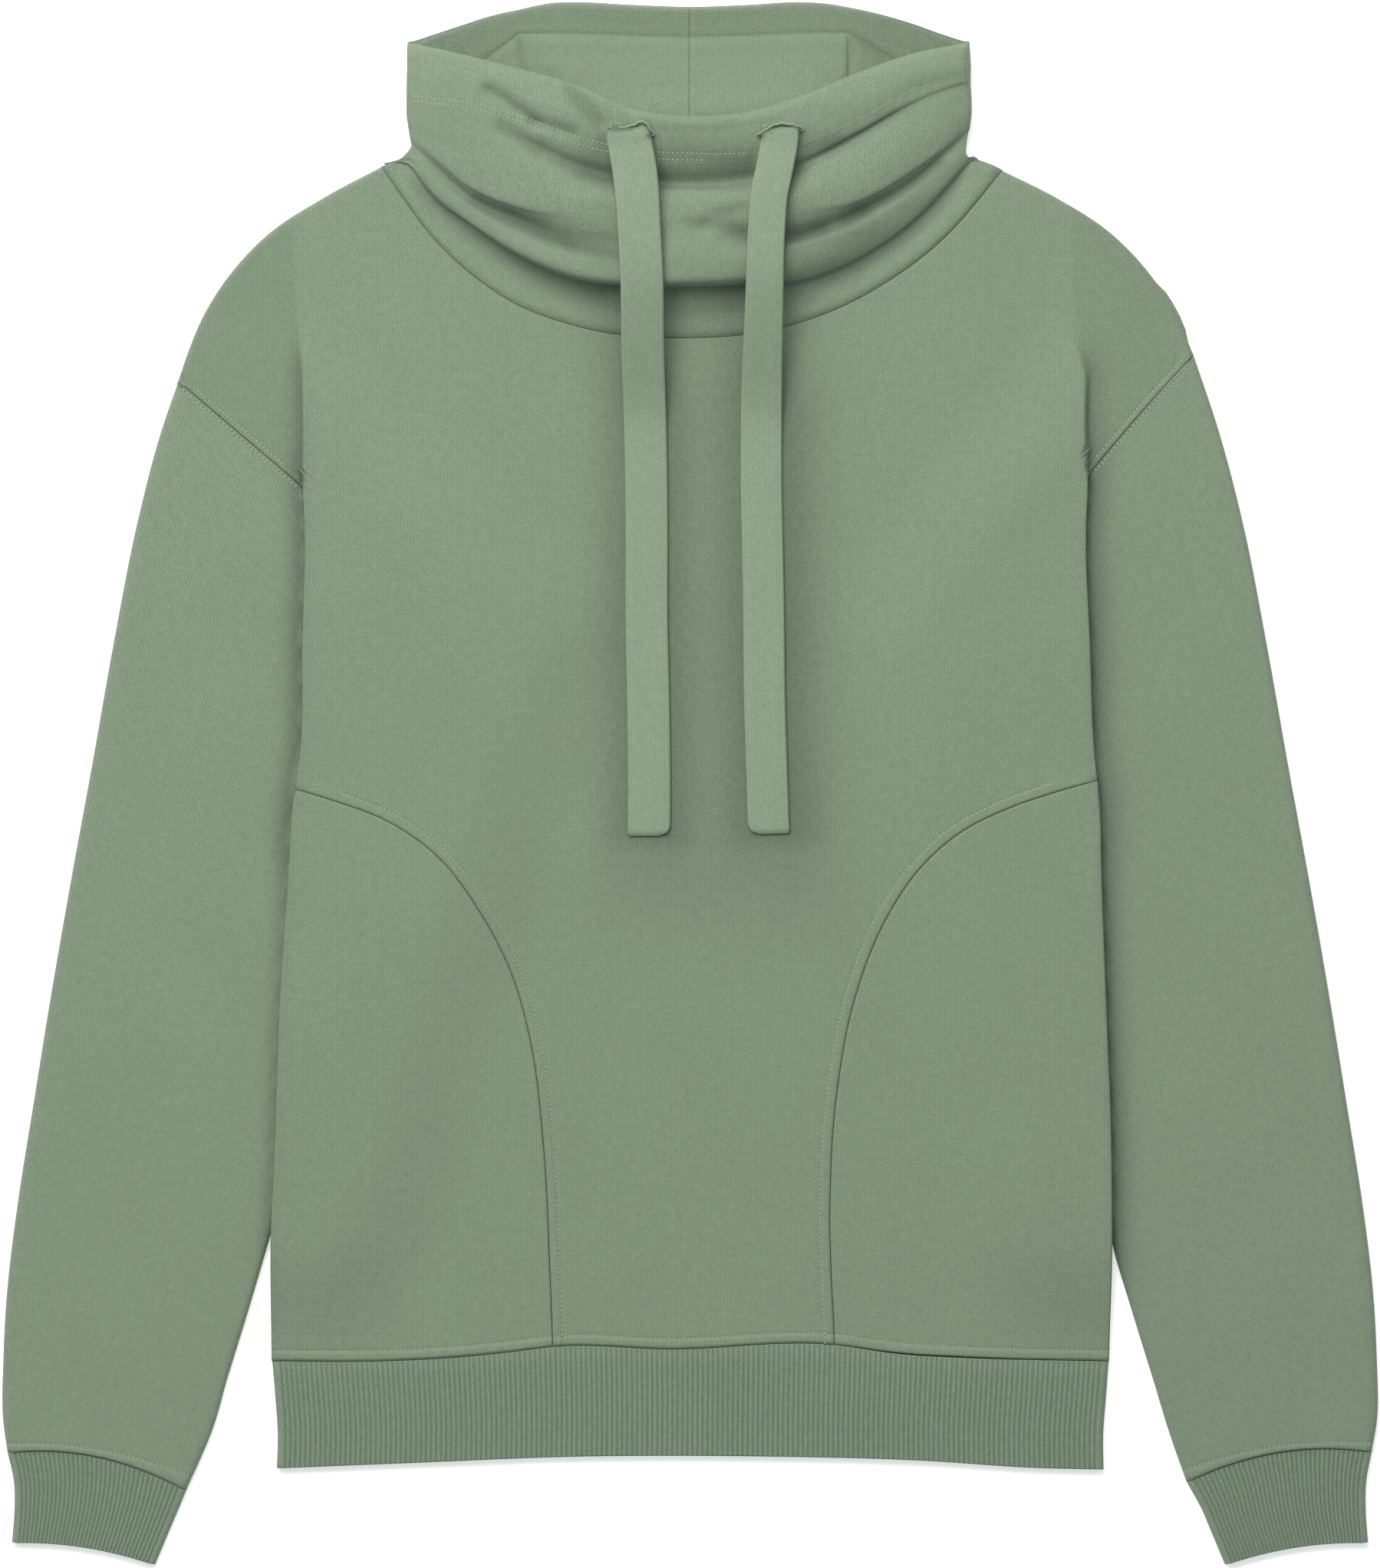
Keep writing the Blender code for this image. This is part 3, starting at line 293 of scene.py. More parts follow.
HALF_CORD = 10.5
PAST_CORD = 42.0       # how far the painted shade goes on below a drawcord's end, and how much of it is lost there
LOST_PAST_CORD = 0.45
BY_COLLAR = (190.0, 45.0)      # y where the collar's own painted shade starts to take over, and over how far
PAINTED_CORD_SHADE = (
    # painted shade beside the drawcords. side, then to its left and to its right: amount, reach, and the
    # share that is left by the collar
    (-1, (0.28, 16.0, 0.75), (0.32, 17.0, 0.0)),
    (1, (0.31, 17.0, 0.75), (0.35, 21.0, 0.0)),
)
PAINTED_LIP_SHADE = 0.6        # painted shadow on the drawcord, right under the lip of its slit
PAINTED_GROOVE_SHADE = 0.3     # painted shade of the rib, in its grooves
PAINTED_FOLD_SHADE = (
    # side, amount and reach of the painted shade outside the fold at the shoulder, beside the body, and lower
    # down beside the body, and the amount all over the shoulder outside the fold
    (-1, (0.28, 6.0), (0.42, 8.0), (0.25, 5.0), 0.08),
    (1, (0.21, 10.0), (0.38, 11.0), (0.42, 8.5), 0.06),
)
# painted shade just inside the fold
PAINTED_INSIDE_FOLD_SHADE = 0.06
AT_SHOULDER = (152.0, 36.0)    # y where the shoulder's painted shade starts to take over, and over how far
LOWER_DOWN = (20.0, 60.0)      # the same for the lower painted shade, below the middle
ALL_OVER = (150.0, 20.0)       # the same for the painted shade all over the shoulder
PAINTED_FOLD_SHADE_TOP = (214.0, 16.0) # y above which the fold's painted shade fades, and over how far

# Distances from an edge at which a panel has points, close together so that a seam shows.
EVEN = (0.0,)
BY_SEAM = (0.0, 0.3, 0.7, 1.2, 1.8, 2.5, 3.2, 4.0, 4.6, 5.2, 5.8, 7.0, 9.0)
BY_NECK = (0.0, 0.3, 0.8, 1.5, 2.6, 4.2, 6.5)
BY_FOLD_START = tuple(np.arange(0.0, 20.0, 1.1))
FOLD_COLUMNS = (0.0, 0.5, 1.0, 1.6, 2.4, 3.6, 5.5)
FRONT_STEP = 3.4       # between the rows of the front, away from its seams
SEAM_STITCH = 5.0      # from the hem and the curved seams to their topstitching
ARMHOLE_STITCH = 2.8


# ---------------------------------------------------------------- curves

def flow(stations, values, where):
    """Value at each place of a smooth curve through the stations, which rise. A value may be a point."""
    stations = np.asarray(stations, float)
    values = np.asarray(values, float)
    where = np.clip(np.asarray(where, float), stations[0], stations[-1])
    slopes = np.gradient(values, stations, axis=0)
    span = np.clip(np.searchsorted(stations, where, side="right") - 1, 0, len(stations) - 2)
    width = stations[span + 1] - stations[span]
    t = (where - stations[span]) / width
    spread_out = (...,) + (None,) * (values.ndim - 1)
    t, width = t[spread_out], width[spread_out]
    start = (1 + 2 * t) * (1 - t) ** 2 * values[span] + t * (1 - t) ** 2 * width * slopes[span]
    end = t * t * (3 - 2 * t) * values[span + 1] + t * t * (t - 1) * width * slopes[span + 1]
    return start + end


def table_flow(table, where, column=1):
    """The smooth curve through two columns of a table."""
    return flow([row[0] for row in table], [row[column] for row in table], where)


def distances(points):
    """How far along the line each of its points is."""
    lengths = np.linalg.norm(np.diff(np.asarray(points, float), axis=0), axis=1)
    return np.concatenate(([0.0], np.cumsum(lengths)))


def along(points, places):
    """Points of a smooth line at these distances from its start."""
    return flow(distances(points), points, places)


def spaced(length, step, near_start=EVEN, near_end=EVEN):
    """Distances from 0 to length, an even step apart but for those near the two ends."""
    first, last = near_start[-1], length - near_end[-1]
    middle = np.linspace(first, last, max(2, round((last - first) / step) + 1))
    return np.concatenate([near_start[:-1], middle, length - np.array(near_end[:-1])[::-1]])


def evenly(line, step):
    """Points of a smooth line an even step apart."""
    return along(line, spaced(distances(line)[-1], step))


def in_parts(line, count):
    """Points that split a smooth line into as many equal parts."""
    return evenly(line, distances(line)[-1] / count)


def mix(a, b, share):
    """This share of the way from a to b."""
    return a + (b - a) * share


def unit(vectors):
    """The same directions, all 1 long."""
    return vectors / np.linalg.norm(vectors, axis=-1)[..., None]


def soft(t):
    """0 below 0, 1 above 1, and a soft step between."""
    t = np.clip(t, 0.0, 1.0)
    return t * t * (3 - 2 * t)


def over(value, start_and_width):
    """A soft step from 0 to 1, given the value where it starts and how wide it is."""
    start, width = start_and_width
    return soft((value - start) / width)


def bell(distance, width):
    """1 at no distance, fading over this width."""
    return np.exp(-((distance / width) ** 2))


def distance_to(points, line):
    """How far each point is from a line."""
    nearest = np.full(points.shape[:-1], 1e9)
    for (ax, ay), (bx, by) in zip(line[:-1], line[1:]):
        length_2 = max((bx - ax) ** 2 + (by - ay) ** 2, 1e-9)
        dx, dy = points[..., 0] - ax, points[..., 1] - ay
        t = np.clip((dx * (bx - ax) + dy * (by - ay)) / length_2, 0, 1)
        nearest = np.minimum(nearest, np.hypot(dx - t * (bx - ax), dy - t * (by - ay)))
    return nearest


def blurred(values, down, across):
    """A grid of values smoothed over this many rows and columns."""
    for axis, size in ((0, down), (1, across)):
        reach = int(3 * size)
        weights = bell(np.arange(-reach, reach + 1), size * math.sqrt(2))
        weights /= weights.sum()
        padded = np.pad(values, [(reach, reach) if a == axis else (0, 0) for a in (0, 1)], mode="edge")
        values = np.apply_along_axis(np.convolve, axis, padded, weights, "valid")
    return values


def ripple(x, y, size, seed):
    """A gentle unevenness between -1 and 1, with waves of about this size."""
    turns = np.random.default_rng(seed).uniform(0, 2 * math.pi, (5, 2))
    total = np.zeros(np.broadcast(x, y).shape)
    for number, (direction, phase) in enumerate(turns):
        wave = 2 * math.pi / (size * (0.7 + 0.22 * number))
        total = total + np.sin((np.cos(direction) * x + np.sin(direction) * y) * wave + phase)
    return total / 5


# ---------------------------------------------------------------- the form that the body lies on

def side_x(side, y):
    """Where the side of the body is at this y."""
    return table_flow(BODY_SIDE, y, 1 if side < 0 else 2)


def from_line(x, y, side, start, end):
    """How far a point lies along a line from its start, and how far above it as seen from its side."""
    ahead_x, ahead_y = (np.array(end) - start) / math.dist(start, end)
    dx, dy = x - start[0], y - start[1]
    return dx * ahead_x + dy * ahead_y, (dy * ahead_x - dx * ahead_y) * side


def ramp_at(x, y, side, ahead=0.0):
    """0 on the surface beside a sleeve, and 1 on it, from the hidden part of its inner edge."""
    inside = from_line(x, y, side, UNDERARM[side], SLEEVE_SHOWS[side])[1]
    return soft((inside + RAMP_START + RAMP + ahead) / RAMP)


def slit_end(side):
    """The inner end of the slit in the back, a little past the underarm."""
    start, tip = np.array(UNDERARM[side]), np.array(SHOULDER_TIP[side])
    return start - (tip - start) / math.dist(tip, start) * SLIT_PAST


def by_hem(y):
    """0 at the hem seam, where the sleeves no longer hold the body up, and 1 well above it."""
    return soft((y - HEM_CORNER + 1.0) / HEM_RISE)


def back_under(x, y):
    """Lower face of the back: on the surface, and up on the sleeves at the sides."""
    total = 0.0
    for side in (-1, 1):
        out, above = from_line(x, y, side, slit_end(side), SHOULDER_TIP[side])
        turn = np.arctan2(above, -out)
        total = total + ramp_at(x, y, side) * soft((TURN_START - turn) / TURN_SPAN)
    return (SLEEVE_HEIGHT + SLEEVE_CLEAR) * total * by_hem(y)


def front_rise(x, y):
    """How high the back and the sleeves hold the front, from 0 to 1."""
    total = 0.0
    for side in (-1, 1):
        above = from_line(x, y, side, slit_end(side), SHOULDER_TIP[side])[1]
        total = total + ramp_at(x, y, side, FRONT_AHEAD) * soft((RAMP + FRONT_PAST - above) / RAMP)
    return total * by_hem(y)


def front_height(x, y):
    """Upper face of the front, up on the sleeves and down outside the fold at the shoulders."""
    left = x < 0
    middle = TWO_LAYERS + (SLEEVE_HEIGHT + SLEEVE_CLEAR + FRONT_CLEAR) * front_rise(x, y)
    inside = np.where(left, x - side_x(-1, y), side_x(1, y) - x)
    on_flange = soft((y - np.where(left, FOLD_START[-1][1], FOLD_START[1][1]) + 1.0) / 3.0)
    flange = mix(TWO_LAYERS, SLEEVE_HEIGHT, soft((FLANGE_TOP - y) / FLANGE_RISE))
    outside = mix(middle, flange, on_flange)
    width = np.where(left, FOLD_WIDTH[-1], FOLD_WIDTH[1]) + FOLD_WIDER * over(y, FOLD_FAN) ** 1.5
    height = mix(outside, middle, soft((inside + FOLD_AHEAD + 0.6 * (1 - on_flange) * width) / width))
    return height + UNEVEN_FRONT * ripple(x, y, 90.0, 4)


def painted_cord_shade(x, y):
    """Painted shade beside and below the drawcords: how much darker the cloth is painted where they would
    shade it.
    """
    light = np.ones_like(x)
    for side, *sides in PAINTED_CORD_SHADE:
        route = np.array(CORD_ROUTES[side])[::-1]
        offset = x - flow(route[:, 1], route[:, 0], y)
        beside_it = np.maximum(np.abs(offset) - HALF_CORD, 0.0)
        past_end = np.maximum(route[0, 1] - y, 0.0)
        by_end = bell(past_end, PAST_CORD) * (1 - LOST_PAST_CORD * soft(past_end / 12.0))
        for sign, (amount, reach, at_top) in zip((-1, 1), sides):
            dark = amount * bell(beside_it, reach * (1 + past_end / 60.0)) * by_end
            dark = dark * mix(1.0, at_top, over(y, BY_COLLAR))
            light = light * np.where(sign * offset > 0, 1 - dark, 1.0)
    return 1 - light


def painted_fold_shade(x, y):
    """Painted shade by the fold at the side of the body, mostly outside it: how much darker the cloth is
    painted there.
    """
    dark = np.zeros_like(x)
    by_shoulder, lower = over(y, AT_SHOULDER), over(-y, LOWER_DOWN)
    past_top = bell(np.maximum(y - PAINTED_FOLD_SHADE_TOP[0], 0.0), PAINTED_FOLD_SHADE_TOP[1])
    for side, shoulder, body, low, wide in PAINTED_FOLD_SHADE:
        outside = side * (x - side_x(side, y))
        amount, reach = (
            body[n] + (shoulder[n] - body[n]) * by_shoulder + (low[n] - body[n]) * lower for n in (0, 1)
        )
        by_fold = amount * bell(np.maximum(outside, 0.0), reach) * past_top
        all_over = wide * over(y, ALL_OVER)
        dark = dark + (by_fold + all_over) * soft(outside / 1.5 + 0.5)
        dark = dark + PAINTED_INSIDE_FOLD_SHADE * bell(outside, 4.0) * past_top * soft(0.5 - outside / 1.5)
    return dark


# ---------------------------------------------------------------- seams

def edge_drop(distance, radius):
    """How far a rounded edge has dropped at this distance from it."""
    inside = np.clip(radius - distance, 0, radius)
    return radius - np.sqrt(np.maximum(radius**2 - inside**2, 0))


def seam_relief(distance, stitch, swell):
    """The cloth swells between a seam and its topstitching, and is drawn down at the stitches."""
    raised = swell * soft(distance / (0.3 * stitch)) * soft((stitch - distance) / (0.25 * stitch) + 0.4)
    return raised - 0.4 * bell(distance - stitch, 0.6)


def shaped(points, height, edges):
    """Points with their height, rounded at the edges. An edge is its line, radius, stitch and swell."""
    z = height(points[..., 0], points[..., 1])
    drop = np.zeros_like(z)
    for line, radius, stitch, swell in edges:
        distance = distance_to(points, line)
        drop = np.maximum(drop, edge_drop(distance, radius))
        if stitch:
            z = z + seam_relief(distance, stitch, swell)
    return np.concatenate([points, (z - drop)[..., None]], axis=-1)


# ---------------------------------------------------------------- meshes

def finish_mesh(name, builder, cloth, thickness=0.0):
    """Turn a bmesh into a smooth object with its material, and a wall if it has a thickness."""
    mesh = bpy.data.meshes.new(name)
    builder.to_mesh(mesh)
    builder.free()
    mesh.shade_smooth()
    mesh.materials.append(bpy.data.materials[cloth])
    piece = bpy.data.objects.new(name, mesh)
    bpy.context.scene.collection.objects.link(piece)
    if thickness:
        wall = piece.modifiers.new("Wall", "SOLIDIFY")
        wall.thickness = thickness * MM
        wall.offset = -1.0
    return piece


def make_sheet(name, points, pattern, cloth, thickness=0.0, around=False, joined=False, facing_down=False,
               cuts=None, shade=None):
    """A grid of cloth. points and pattern have rows of places, in space and on the flat cloth.

    around joins the last column to the first, and joined the last row to the first. cuts says which faces
    of the grid are left out, and shade how much painted shade the cloth has at each point.
    """
    if shade is None:
        shade = np.zeros(points.shape[:2])
    if around:
        gap = np.array((np.linalg.norm(points[0, -1] - points[0, -2]), 0.0))
        pattern = np.concatenate([pattern, pattern[:, -1:] + gap], axis=1)
        points, shade = (np.concatenate([values, values[:, :1]], axis=1) for values in (points, shade))
    if joined:
        pattern = np.concatenate([pattern, pattern[-1:] + (0.0, 1.0)], axis=0)
        points, shade = (np.concatenate([values, values[:1]], axis=0) for values in (points, shade))
    rows, columns = points.shape[:2]
    builder = bmesh.new()
    bmesh.ops.create_grid(builder, x_segments=columns - 1, y_segments=rows - 1, size=0.5)
    place_verts(builder, range(rows * columns), points.reshape(-1, 3), shade.reshape(-1))
    layer = builder.loops.layers.uv.new("Cloth")
    flat = pattern.reshape(-1, 2)
    gone = []
    for face in builder.faces:
        for loop in face.loops:
            loop[layer].uv = flat[loop.vert.index]
        if cuts is not None and cuts[divmod(min(vert.index for vert in face.verts), columns)]:
            gone.append(face)
    bmesh.ops.delete(builder, geom=gone, context="FACES")
    bmesh.ops.remove_doubles(builder, verts=builder.verts, dist=0.01 * MM)
    if facing_down:
        bmesh.ops.reverse_faces(builder, faces=builder.faces)
    if around:
        bmesh.ops.recalc_face_normals(builder, faces=builder.faces)
    return finish_mesh(name, builder, cloth, thickness)


def place_verts(builder, numbers, points, shade):
    """Move vertices of a grid to these points, and store how much painted shade each one has."""
    dark = builder.verts.layers.float.get("Shade") or builder.verts.layers.float.new("Shade")
    builder.verts.ensure_lookup_table()
    for number, place, amount in zip(numbers, points * MM, shade):
        builder.verts[number].co = place
        builder.verts[number][dark] = amount


def flattened_tube(line, height, columns):
    """Rings of a flattened tube over rows of end points and bows; also how far round each point is.

    line holds, for each row, x and y of the outer end, x and y of the inner end, and the bow.
    """
    start, bow, radius = line[:, 0:2], line[:, 4], height / 2
    ahead = unit(line[:, 2:4] - start)
    width = np.linalg.norm(line[:, 2:4] - start, axis=1)
    turn = np.linspace(0.0, math.pi, END_COLUMNS + 2)[1:-1]
    share, ones, ends = np.linspace(0.0, 1.0, columns), np.ones(columns), np.ones(END_COLUMNS)
    across = np.concatenate([share, ends, share[::-1], 0 * ends])
    push = np.concatenate([0 * ones, np.sin(turn), 0 * ones, -np.sin(turn)])
    lift = np.concatenate([ones, np.cos(turn), -ones, -np.cos(turn)])
    distance = radius + (width[:, None] - 2 * radius) * across + radius * push
    points = np.zeros((len(line), len(across), 3))
    points[..., :2] = start[:, None] + ahead[:, None] * distance[..., None]
    points[..., 1] += bow[:, None] * 4 * across * (1 - across)
    points[..., 2] = radius + radius * lift
    return points, across, lift


def flat_pattern(points):
    """Where each point of a tube is on its flat cloth."""
    return np.stack(np.meshgrid(distances(points[len(points) // 2]), -distances(points[:, 0])), axis=-1)


def put_on(piece, slot_name, *nodes):
    """Say which body a piece rides on and which CAD nodes it stands for. slot_name, meant for its finish, is
    not used.
    """
    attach(piece, "root")
    if nodes:
        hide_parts(*nodes)
    return piece


# ---------------------------------------------------------------- stitches

# The real thread is 0.5 mm wide. It is drawn coarser than that so that the dotted rows show.
STITCH_WIDTH = 1.25
STITCH_LIFT = 0.4
STITCH_POINTS = 6
STITCH_SECTION = ((-1.0, -0.6), (-0.42, 1.0), (0.42, 1.0), (1.0, -0.6))    # across, and up or down
PAINTED_HOLE_SHADE = 0.72      # painted shade of the thread, where it goes down into the cloth
PAINTED_EDGE_SHADE = 0.2       # painted shade along both edges of the thread


def stitch_row(builder, path, up, pitch):
    """One row of stitches laid along a path. up is the way off the cloth at each point of the path."""
    path_places = distances(path)
    count = max(1, round(path_places[-1] / pitch)) * STITCH_POINTS
    places = np.linspace(0.0, path_places[-1], count + 1)
    middle = along(path, places)
    normal = unit(flow(path_places, up, places))
    sideways = np.cross(normal, unit(np.gradient(middle, axis=0)))
    swell = 0.5 - 0.5 * np.cos(2 * math.pi * np.arange(count + 1) / STITCH_POINTS)
    half = STITCH_WIDTH / 2 * (0.4 + 0.6 * np.sqrt(swell))
    points, shade = [], []
    for across, lift in STITCH_SECTION:
        rise = STITCH_LIFT * ((swell * 1.3 - 0.3) * (lift if lift > 0 else 1.0) + min(lift, 0.0))
        points.append(middle + sideways * (half * across)[:, None] + normal * rise[:, None])
        # Painted shade: dark in the needle holes and along the thread's lower edges.
        shade.append(PAINTED_HOLE_SHADE * (1 - swell) ** 1.5 + PAINTED_EDGE_SHADE * (lift < 0) * swell)
    made = len(builder.verts)
    bmesh.ops.create_grid(builder, x_segments=count, y_segments=len(STITCH_SECTION) - 1, size=0.5)
    place_verts(builder, range(made, len(builder.verts)), np.concatenate(points), np.concatenate(shade))


def beside(line, distance):
    """A line moved to its left by a distance, or to its right if that is negative."""
    ahead = unit(np.gradient(line, axis=0))
    return line + np.stack([-ahead[:, 1], ahead[:, 0]], axis=1) * distance


def finish_stitches(name, builder, slot_name):
    """Turn rows of stitches into a piece."""
    return put_on(finish_mesh(name, builder, THREAD), slot_name)


# ---------------------------------------------------------------- outlines of the body

def shoulder_line(side):
    """From the tip of the shoulder to the neck point."""
    between = [(side * x, y) for x, y in SHOULDER if math.dist((side * x, y), SHOULDER_TIP[side]) > 2.0]
    return np.array([SHOULDER_TIP[side], *between[::-1], NECK_POINT[side]])


def armhole_line(side, steps=12):
    """From the underarm to the tip of the shoulder."""
    share = np.linspace(0.0, 1.0, steps)[:, None]
    line = mix(np.array(UNDERARM[side]), np.array(SHOULDER_TIP[side]), share)
    line[:, 1] += ARMHOLE_BOW[side] * 4 * share[:, 0] * (1 - share[:, 0])
    return line


def seen_armhole(side):
    """From the fold at the side of the body to the tip of the shoulder."""
    fold = FOLD_START[side]
    return np.array([fold] + [p for p in armhole_line(side) if side * p[0] > side * fold[0] + 4.0])


def body_side(side, bottom, top):
    """Up the side of the body."""
    y = np.linspace(bottom, top, 16)
    return np.stack([side_x(side, y), y], axis=1)


def lower_side(side):
    """The side of the body below the curved seam."""
    return body_side(side, HEM_CORNER, CURVED_SEAM[side][-1][1])


def upper_side(side):
    """The side of the body from the curved seam to the fold of the shoulder."""
    return body_side(side, CURVED_SEAM[side][-1][1], FOLD_START[side][1])


def neck_y(x):
    return table_flow(NECK_SEAM, x)


def hem_y(x):
    return table_flow(HEM_SEAM, x)


def hem_line(start, end, count):
    """Along the hem seam, between two places across."""
    x = np.linspace(start, end, count)
    return np.stack([x, hem_y(x)], axis=1)


def middle_hem(inset, count):
    """Along the hem seam between the curved seams."""
    return hem_line(CURVED_SEAM[-1][0][0] + inset, CURVED_SEAM[1][0][0] - inset, count)


def front_edges():
    """The edges of the middle of the front: line, radius, distance of the stitches, swell."""
    x = np.linspace(NECK_POINT[-1][0], NECK_POINT[1][0], 60)
    edges = [(np.stack([x, neck_y(x)], axis=1), 0.8, 0.0, 0.0), (middle_hem(0.0, 20), 0.8, SEAM_STITCH, 0.9)]
    for side in (-1, 1):
        edges += [
            (evenly(CURVED_SEAM[side], 8.0), 0.9, SEAM_STITCH, 0.4),
            (upper_side(side), 1.2, 0.0, 0.0),
            (seen_armhole(side), 0.8, ARMHOLE_STITCH, 0.35),
            (evenly(shoulder_line(side), 8.0), 2.6, 0.0, 0.0),
        ]
    return edges


def side_edges(side):
    """The edges of the lower side of the front."""
    return [
        (evenly(CURVED_SEAM[side], 8.0), 1.3, 0.0, 0.0),
        (lower_side(side), 1.2, 0.0, 0.0),
        (hem_line(side_x(side, HEM_CORNER), CURVED_SEAM[side][0][0], 20), 0.8, SEAM_STITCH, 0.9),
    ]


def matched(left, right, near_start=EVEN, near_end=EVEN):
    """As many points down a line on the left as on the right."""
    left_length, right_length = distances(left)[-1], distances(right)[-1]
    places = spaced(left_length, FRONT_STEP, near_start, near_end)
    return along(left, places), along(right, places * right_length / left_length)


def rows_across(left, right, share):
    """x and y of rows of points between two sides."""
    return (mix(left[:, n:n + 1], right[:, n:n + 1], share) for n in (0, 1))


def columns_across(width, count):
    """Shares of the way across rows of these widths, with points close together near both ends."""
    near = np.array(BY_SEAM) / width[:, None]
    between = np.linspace(0.0, 1.0, count + 2)[1:-1]
    return np.concatenate([near, mix(near[:, -1:], 1 - near[:, -1:], between), 1 - near[:, ::-1]], axis=1)


def columns_by_folds(left, right):
    """Shares of the way across the rows of the front, close together at both ends and at the side folds."""
    width = np.linalg.norm(right - left, axis=1)
    halves = []
    for side, start in ((-1, left), (1, right)):
        fold = side * (start[:, 0] - side_x(side, start[:, 1]))
        fold = np.maximum(fold, BY_SEAM[-1] + FOLD_COLUMNS[-1] + 7.0)[:, None]
        places = np.concatenate([
            np.tile(BY_SEAM, (len(start), 1)),
            mix(BY_SEAM[-1], fold - FOLD_COLUMNS[-1], np.linspace(0.0, 1.0, 14)[1:-1]),
            fold - np.array(FOLD_COLUMNS)[::-1], fold + np.array(FOLD_COLUMNS)[1:],
        ], axis=1) / width[:, None]
        middle = mix(places[:, -1:], 0.5, np.linspace(0.0, 1.0, 62)[1:])
        halves.append(np.concatenate([places, middle], axis=1))
    return np.concatenate([halves[0], 1 - halves[1][:, -2::-1]], axis=1)


# ---------------------------------------------------------------- settings

def linear(hex_colour):
    """An sRGB hex colour as linear red, green and blue."""
    parts = [int(hex_colour[i:i + 2], 16) / 255 for i in (0, 2, 4)]
    return tuple(p / 12.92 if p <= 0.04045 else ((p + 0.055) / 1.055) ** 2.4 for p in parts)


def colour_property(label, text, hex_colour):
    return bpy.props.FloatVectorProperty(
        name=label, description=text, subtype="COLOR", size=3, min=0.0, max=1.0, default=linear(hex_colour)
    )


def length_property(label, text, millimetres):
    return bpy.props.FloatProperty(
        name=label, description=text, unit="LENGTH", min=0.0, default=millimetres * MM, precision=4
    )


class SweatshirtSettings(bpy.types.PropertyGroup):
    """Sizes and colours that change from one sweatshirt to the next."""

    fleece_light: colour_property("Fleece, light", "Raised fibres of the fleece face", "7A8A74")
    fleece_dark: colour_property("Fleece, dark", "Between the fibres of the fleece face", "6B7A66")
    rib_light: colour_property("Rib, light", "Ridges of the rib", "7A8B77")
    rib_dark: colour_property("Rib, dark", "Grooves of the rib", "697966")
    # The drawcord's colours are lighter than the fleece's, partly as painted light.
    cord_light: colour_property("Drawcord, light", "Raised fibres of the pressed drawcord", "82937C")
    cord_dark: colour_property("Drawcord, dark", "Between the fibres of the drawcord", "73836E")
    thread: colour_property("Thread", "Sewing thread", "8E9F87")
    cloth_wall: length_property("Cloth", "Thickness of one layer of cloth", 1.6)
    rib_wall: length_property("Rib cloth", "Thickness of one layer of rib", 1.3)
    rib_pitch: length_property("Rib pitch", "From one ridge of the rib to the next", 2.7)
    rib_depth: length_property("Rib depth", "Depth of the grooves of the rib", 0.6)
    stitch_pitch: length_property("Stitch", "Length of one stitch", 2.5)
    cord_width: length_property("Drawcord width", "Width of the flat drawcords", 21.0)
    cord_thickness: length_property("Drawcord thickness", "Thickness of the flat drawcords", 2.6)
    key_power: bpy.props.FloatProperty(
        name="Key light", description="Power of the softbox", unit="POWER", min=0.0, default=122.0
    )
    fill: bpy.props.FloatProperty(
        name="Fill", description="Strength of the even light from all round", min=0.0, default=0.42
    )


def in_mm(length):
    return length / MM


# ---------------------------------------------------------------- materials

FLEECE = "Cotton fleece jersey face"
RIB = "Cotton elastane rib knit"
CORD = "Folded jersey drawcord"
THREAD = "Cotton sewing thread"
CARD = "Matt white card"
PAINTED_SHADE_COLOUR = (0.0, 0.03, 0.06, 1.0)     # what the deepest painted shade leaves of each colour: a little cool
GRAIN = 0.9            # size of the fibres that show
MIDDLE_TONE = 0.78     # the usual sum of the noises that make the grain
WAVE = 0.314           # a wave texture repeats every so many units at a scale of 1

def add_node(tree, kind, inputs=None, **settings):
    """Add a node with its settings. An input is a value or another node's output."""
    node = tree.nodes.new(kind)
    for key, value in settings.items():
        setattr(node, key, value)
    for key, value in (inputs or {}).items():
        if isinstance(value, bpy.types.NodeSocket):
            tree.links.new(value, node.inputs[key])
        else:
            node.inputs[key].default_value = value
    return node


def new_material(name):
    material = bpy.data.materials.new(name)
    material.use_nodes = True
    tree = material.node_tree
    tree.nodes.clear()
    return tree


def noise(tree, place, size, detail, roughness=0.5, **settings):
    """Noise with patches of this size."""
    return add_node(
        tree, "ShaderNodeTexNoise", **settings,
        inputs={"Vector": place, "Scale": 1 / size, "Detail": detail, "Roughness": roughness},
    ).outputs["Fac"]


def weighted(tree, value, weight, plus):
    return add_node(
        tree, "ShaderNodeMath", operation="MULTIPLY_ADD", inputs={0: value, 1: weight, 2: plus}
    ).outputs[0]


def blended(tree, share, a, b, **settings):
    return add_node(
        tree, "ShaderNodeMix", data_type="RGBA", **settings, inputs={"Factor": share, "A": a, "B": b}
    ).outputs["Result"]


def with_painted_shade(tree, colour):
    """A colour darkened by the painted shade that the mesh stores."""
    shade = add_node(tree, "ShaderNodeAttribute", attribute_name="Shade").outputs["Fac"]
    return blended(tree, shade, colour, PAINTED_SHADE_COLOUR, blend_type="MULTIPLY")


def raised(tree, height, strength, depth):
    """The normal of a fine relief, whose depth is in millimetres."""
    return add_node(
        tree, "ShaderNodeBump", inputs={"Height": height, "Strength": strength, "Distance": depth * MM}
    ).outputs["Normal"]


